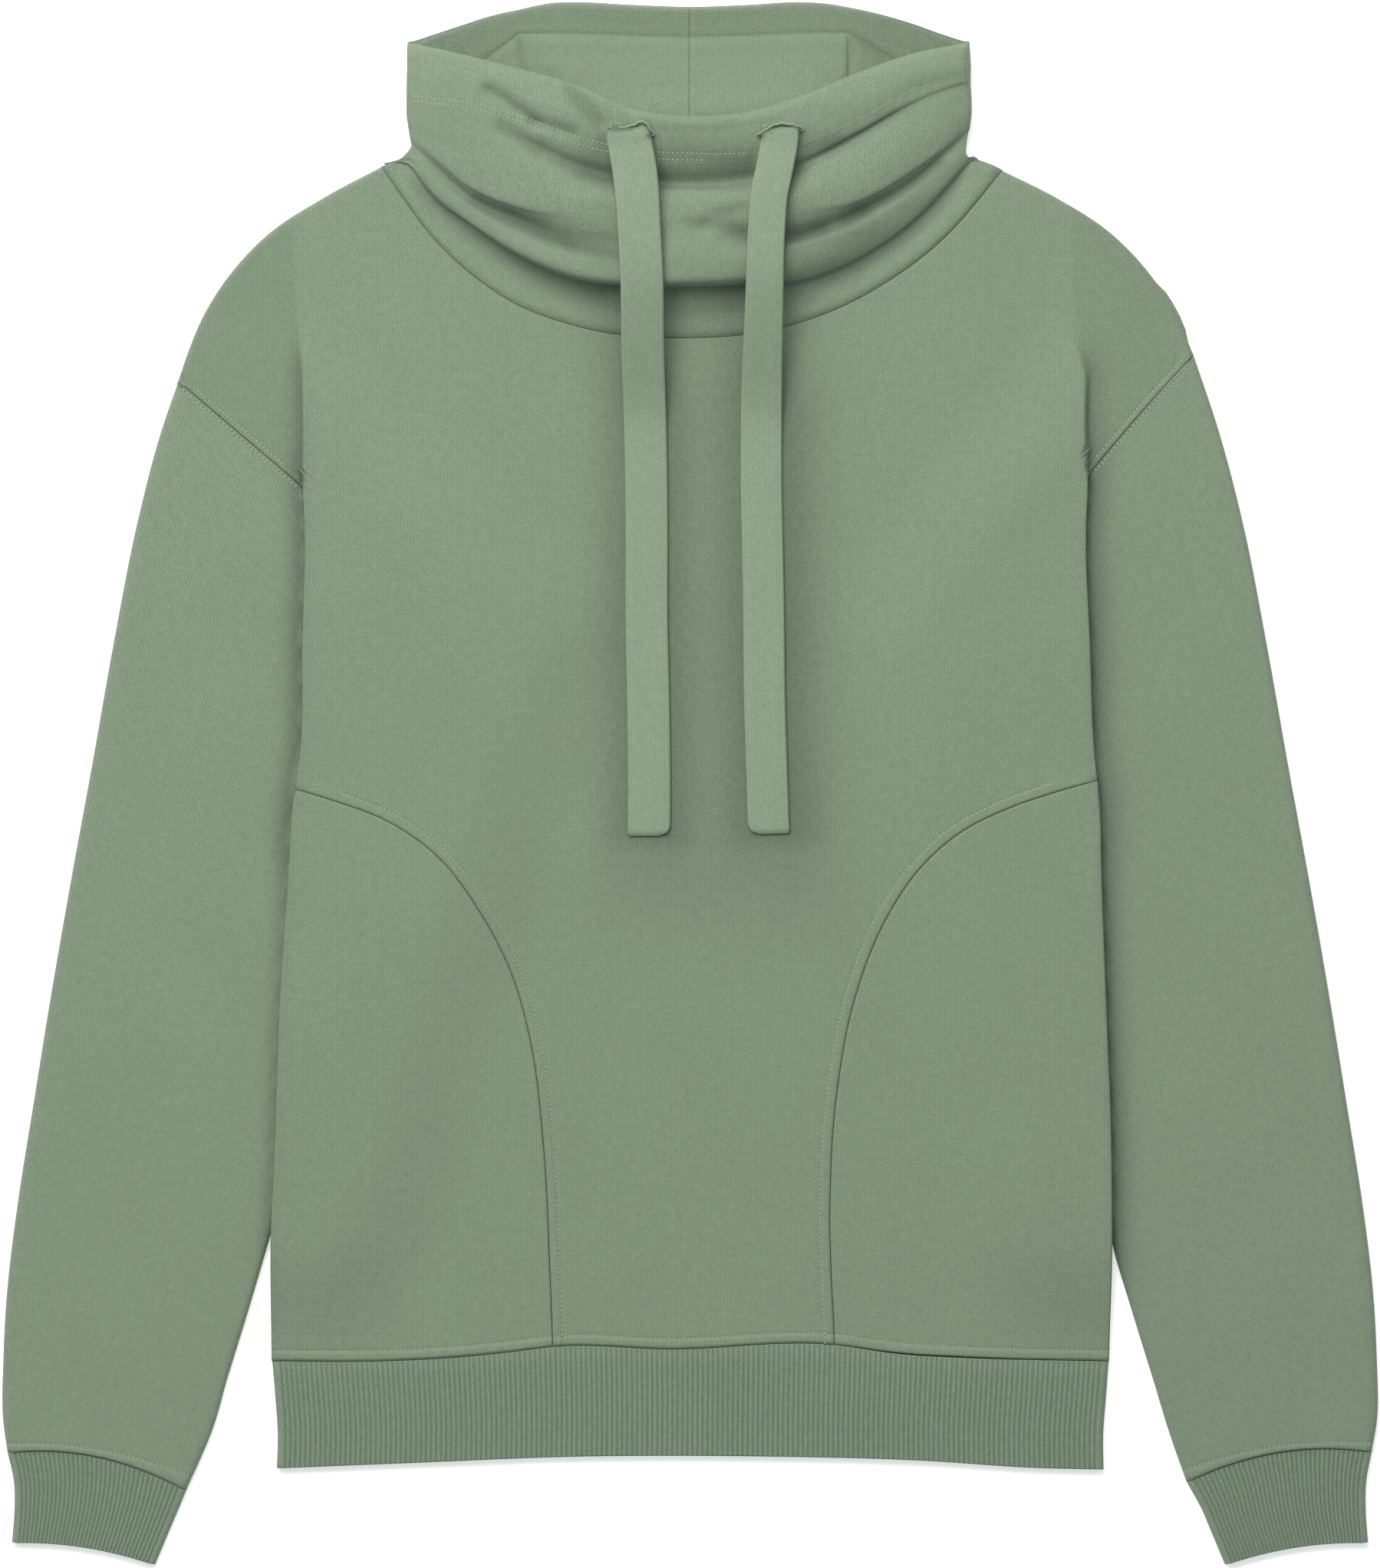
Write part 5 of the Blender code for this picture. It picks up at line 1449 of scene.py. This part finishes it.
def collar_inner(rim):
    """The inner face of the collar, from its rim down to its seam."""
    across, back_across = np.linspace(-1.0, 1.0, FRONT_COLUMNS), back_columns()
    x = (NECK_POINT[-1][0] + NECK_POINT[1][0]) / 2 + SEAM_HALF * across
    seam = np.stack([x, neck_y(x) + 1.2, np.full_like(x, 3.2)], axis=1)
    fronts, backs = [], []
    for _, share, proud, flat, front_share in BACK_LINES:
        side_y = mix(NECK_POINT[-1][1], INNER_TOP, front_share)
        left, right = collar_side_x(-1, side_y) + SIDE_WALL, collar_side_x(1, side_y) - SIDE_WALL
        x = mix(left, right, (1 + back_across) / 2)
        rise = np.interp(x, BACK_X, LEDGE_RISE) * (1 - 0.3 * (x / 89.0) ** 2)
        y = mix(ledge_y(x), back_rim_y(x), share) if share > 0 else ledge_y(x) + share
        y = mix(y, side_y, soft((np.abs(back_across) - 0.93) / 0.07))
        backs.append(np.stack([x, y, mix(flat, proud, rise)], axis=1))
        x = mix(left, right, (1 + across) / 2)
        y = mix(seam[:, 1], rim[:FRONT_COLUMNS, 1], front_share)
        z = mix(5.0, table_flow(INNER_HEIGHTS, front_share), 1 - np.abs(across) ** 2.4)
        fronts.append(np.stack([x, y, z], axis=1))
    fronts.append(seam)
    x = 1.0 + SEAM_HALF * back_across
    backs.append(np.stack([x, back_neck_y(x) + 0.6, np.full_like(x, 2.6)], axis=1))
    fronts, backs = np.array(fronts), np.array(backs)
    down = distances(backs[:, backs.shape[1] // 3])
    places = np.unique(np.concatenate([spaced(down[-1], 2.2), np.arange(down[1], down[5], 0.5)]))
    front, back = flow(down, fronts, places), flow(down, backs, places)
    x, y = back[..., 0], back[..., 1]
    back[..., 2] -= 0.7 * bell(x, 0.45) - 0.25 * bell(np.abs(x) - 1.5, 0.8)
    panel = soft((ledge_y(x) - y) / 3.0)
    for crease_x, (depth, width) in LEDGE_CREASES.items():
        back[..., 2] -= panel * depth * bell(x - crease_x, width)
    back[..., 2] += 0.3 * ripple(x, y, 40.0, 21)
    return collar_ring(front, back, INNER_ROUND)


def combined_painted_shade(*shades):
    """How much painted shade there is where several painted shades lie on each other."""
    light = 1.0
    for shade in shades:
        light = light * (1 - shade)
    return 1 - light


def painted_band_shade(points, bands):
    """Painted shade along folds: how much darker the cloth is painted there."""
    return combined_painted_shade(*(
        amount * bell(distance_to(points[..., :2], line), width) for amount, width, *line in bands
    ))


def painted_inside_shade(x, y):
    """Painted shade inside the back of the collar, with a thin painted line at the ledge: how much darker the
    cloth is painted there.
    """
    above = y - ledge_y(x)
    to_end = soft((np.abs(x + 3.0) - 76.0) / 34.0)
    line = 0.02 * bell(above - 0.3, 0.7) * (1 - 0.5 * to_end)
    return mix(PAINTED_PANEL_SHADE, PAINTED_BAND_SHADE, soft(above / 2.0 + 0.5)) + PAINTED_END_SHADE * to_end + line


class SWEATSHIRT_OT_collar(bpy.types.Operator):
    """Make the funnel neck, rolled at the front, with its casing and the slits for the drawcords"""

    bl_idname = "sweatshirt.make_collar"
    bl_label = "Funnel neck"

    def execute(self, context):
        outer, places, casing = collar_outer()
        inner = collar_inner(outer[-1])
        points = np.concatenate([outer, inner])
        step, up = distances(points[len(outer) // 2]), distances(points[:, FRONT_COLUMNS // 2])
        piece = make_sheet("collar_cloth", points, np.stack(np.meshgrid(step, up), axis=-1), FLEECE,
                           around=True, joined=True, shade=self.shade(outer, inner))
        put_on(piece, "fleece", "collar")
        front = outer[:, :FRONT_COLUMNS]
        self.stitch(front, places - casing, in_mm(context.scene.sweatshirt.stitch_pitch))
        for side, name in SIDES:
            self.slit(front, SLIT_LIPS[side], "slit_" + name + "_lip")
        return {"FINISHED"}

    def shade(self, outer, inner):
        """Painted shade in the rolls and hollows at the front, beside the drawcords, and inside the back."""
        front, back = outer[:, :FRONT_COLUMNS], inner[:, FRONT_COLUMNS:]
        hollow = blurred(front[..., 2], 9.0, 7.0) - front[..., 2]
        dark = DEEPEST_PAINTED_SHADE * (1 - np.exp(-np.maximum(PAINTED_COLLAR_SHADE * hollow, 0.0) / DEEPEST_PAINTED_SHADE))
        above = soft((front[..., 2] - 14.5) / 4.0)
        beside_cord = painted_cord_shade(front[..., 0], front[..., 1]) * (1 - 0.85 * above)
        shade = np.zeros((len(outer) + len(inner), outer.shape[1]))
        shade[:len(outer), :FRONT_COLUMNS] = combined_painted_shade(
            dark * above, beside_cord, painted_band_shade(front, PAINTED_FOLD_BANDS)
        )
        shade[len(outer):, FRONT_COLUMNS:] = combined_painted_shade(
            painted_inside_shade(back[..., 0], back[..., 1]), painted_band_shade(back, PAINTED_INSIDE_BANDS)
        )
        return shade

    def stitch(self, front, above, pitch):
        """The two rows under the casing. At their right they are rolled into the fold, out of sight."""
        builder = bmesh.new()
        normal = unit(np.cross(np.gradient(front, axis=1), np.gradient(front, axis=0)))
        for shift, last_x in CASING_ROWS:
            row = int(np.argmin(np.abs(above - shift)))
            seen = front[row, :, 0] < last_x
            stitch_row(builder, front[row, seen][1:], normal[row, seen][1:], pitch)
        finish_stitches("collar_stitches", builder, "fleece")

    def slit(self, front, line, name):
        """The raw lip of a slit, a narrow turned edge over the drawcord."""
        path = evenly(line, 0.5)
        share = np.linspace(0, 1, len(path))
        away = np.abs(front[None, :, :, :2] - path[:, None, None]).sum(axis=-1)
        z = front.reshape(-1, 3)[away.reshape(len(path), -1).argmin(axis=1), 2]
        z = blurred(z[:, None], 6, 0.1)[:, 0] + 0.8 + 3.2 * np.sin(math.pi * share) ** 0.5
        middle = np.column_stack([path, z])
        middle[:, 1] += 0.14 * np.sin(share * 37.0) + 0.1 * np.sin(share * 61.0 + 1.0)
        upright = np.array((0.0, 0.0, 1.0))
        sideways = unit(np.cross(upright, unit(np.gradient(middle, axis=0))))
        turn = np.linspace(0, 2 * math.pi, 11)[:-1, None]
        thick = 0.35 + 0.4 * np.sin(math.pi * np.clip(share, 0.02, 0.98)) ** 0.5
        ring = sideways[:, None] * np.cos(turn) + upright * np.sin(turn) * 1.6
        points = middle[:, None] + ring * thick[:, None, None]
        put_on(make_sheet(name, points, flat_pattern(points), CORD, around=True), "fleece")


class SWEATSHIRT_OT_stitches(bpy.types.Operator):
    """Make the topstitching of the body, sleeves and rib bands"""

    bl_idname = "sweatshirt.make_stitches"
    bl_label = "Topstitching"

    def execute(self, context):
        edges = front_edges()
        body = [self.on_front(middle_hem(5.0, 30), SEAM_STITCH, edges)]
        sleeves = []
        for side in (-1, 1):
            ends = sorted((side_x(side, HEM_CORNER) - side * 3.0, CURVED_SEAM[side][0][0]))
            body += [
                self.on_front(CURVED_SEAM[side][:-1], side * SEAM_STITCH, edges),
                self.on_front(seen_armhole(side)[1:], side * ARMHOLE_STITCH, edges),
                self.on_front(hem_line(*ends, 24), SEAM_STITCH, side_edges(side)),
            ]
            rows = sleeve_rows(side)
            upper = flattened_tube(rows, SLEEVE_HEIGHT, TUBE_COLUMNS)[0][:, :TUBE_COLUMNS] - (0.0, 0.0, 0.2)
            from_top = distances(rows[:, :2])
            by_armhole = upper[np.argmin(np.abs(from_top - SLEEVE_STITCH))]
            sleeves += [
                by_armhole[side * by_armhole[:, 0] > side * FOLD_START[side][0] + 2.0],
                upper[np.argmin(np.abs(from_top - from_top[-1] + CUFF_STITCH))],
            ]
        pitch = in_mm(context.scene.sweatshirt.stitch_pitch)
        for name, paths in (("body_stitches", body), ("sleeve_stitches", sleeves)):
            builder = bmesh.new()
            for path in paths:
                stitch_row(builder, path, np.tile((0.0, 0.0, 1.0), (len(path), 1)), pitch)
            finish_stitches(name, builder, "fleece")
        return {"FINISHED"}

    def on_front(self, line, shift, edges):
        """A path on the front, beside a line."""
        return shaped(beside(evenly(line, 4.0), shift), front_height, edges)


class SWEATSHIRT_OT_stage(bpy.types.Operator):
    """Make the floor and the lights"""

    bl_idname = "sweatshirt.make_stage"
    bl_label = "Stage"

    def execute(self, context):
        settings, scene = context.scene.sweatshirt, context.scene
        # Matt white studio card, lit from behind as for a cut-out: even and barely textured.
        tree = new_material(CARD)
        tooth = noise(tree, add_node(tree, "ShaderNodeTexCoord").outputs["Object"], 1 / 900.0, 2.0)
        surface(tree, (*linear("F7F7F6"), 1.0), raised(tree, tooth, 0.05, 0.05), 0.95, **{
            "Specular IOR Level": 0.1, "Emission Color": (1.0, 1.0, 1.0, 1.0), "Emission Strength": 0.45})
        builder = bmesh.new()
        bmesh.ops.create_grid(builder, x_segments=2, y_segments=2, size=4.0)
        bmesh.ops.translate(builder, verts=builder.verts, vec=(0.0, 0.0, -0.3 * MM))
        floor = finish_mesh("Floor", builder, CARD)
        self.softbox(scene, "Key softbox", np.array((-0.72, 1.65, 2.45)), 2.3, settings.key_power)
        world = bpy.data.worlds.new("Studio")
        world.use_nodes = True
        background = world.node_tree.nodes["Background"].inputs
        background["Color"].default_value = (0.95, 1.0, 1.05, 1.0)
        background["Strength"].default_value = settings.fill
        scene.world = world
        scene.view_settings.view_transform = "Standard"
        return {"FINISHED"}

    def softbox(self, scene, name, place, size, power):
        """A square softbox aimed at the middle of the garment."""
        data = bpy.data.lights.new(name, "AREA")
        data.shape, data.size, data.energy, data.color = "SQUARE", size, power, (1.03, 1.0, 0.97)
        light = bpy.data.objects.new(name, data)
        scene.collection.objects.link(light)
        light.location = place
        x, y, z = place
        light.rotation_euler = (math.atan2(math.hypot(x, y), z), 0.0, math.atan2(y, x) + math.pi / 2)


OPERATORS = (
    SWEATSHIRT_OT_camera, SWEATSHIRT_OT_materials, SWEATSHIRT_OT_cords, SWEATSHIRT_OT_front,
    SWEATSHIRT_OT_back, SWEATSHIRT_OT_sleeves, SWEATSHIRT_OT_ribs, SWEATSHIRT_OT_collar,
    SWEATSHIRT_OT_stitches, SWEATSHIRT_OT_stage,
)


class SWEATSHIRT_PT_panel(bpy.types.Panel):
    """The steps that make the sweatshirt, in order"""

    bl_idname = "SWEATSHIRT_PT_panel"
    bl_label = "Sweatshirt"
    bl_space_type = "VIEW_3D"
    bl_region_type = "UI"
    bl_category = "Sweatshirt"

    def draw(self, context):
        column = self.layout.column()
        for name in SweatshirtSettings.__annotations__:
            column.prop(context.scene.sweatshirt, name)
        for operator in OPERATORS:
            column.operator(operator.bl_idname)


def register():
    bpy.utils.register_class(SweatshirtSettings)
    bpy.types.Scene.sweatshirt = bpy.props.PointerProperty(type=SweatshirtSettings)
    for operator in OPERATORS:
        bpy.utils.register_class(operator)
    bpy.utils.register_class(SWEATSHIRT_PT_panel)


def unregister():
    bpy.utils.unregister_class(SWEATSHIRT_PT_panel)
    for operator in reversed(OPERATORS):
        bpy.utils.unregister_class(operator)
    del bpy.types.Scene.sweatshirt
    bpy.utils.unregister_class(SweatshirtSettings)


def main():
    """Make everything in order."""
    register()
    for operator in OPERATORS:
        group, name = operator.bl_idname.split(".")
        getattr(getattr(bpy.ops, group), name)()


if __name__ == "__main__":
    main()
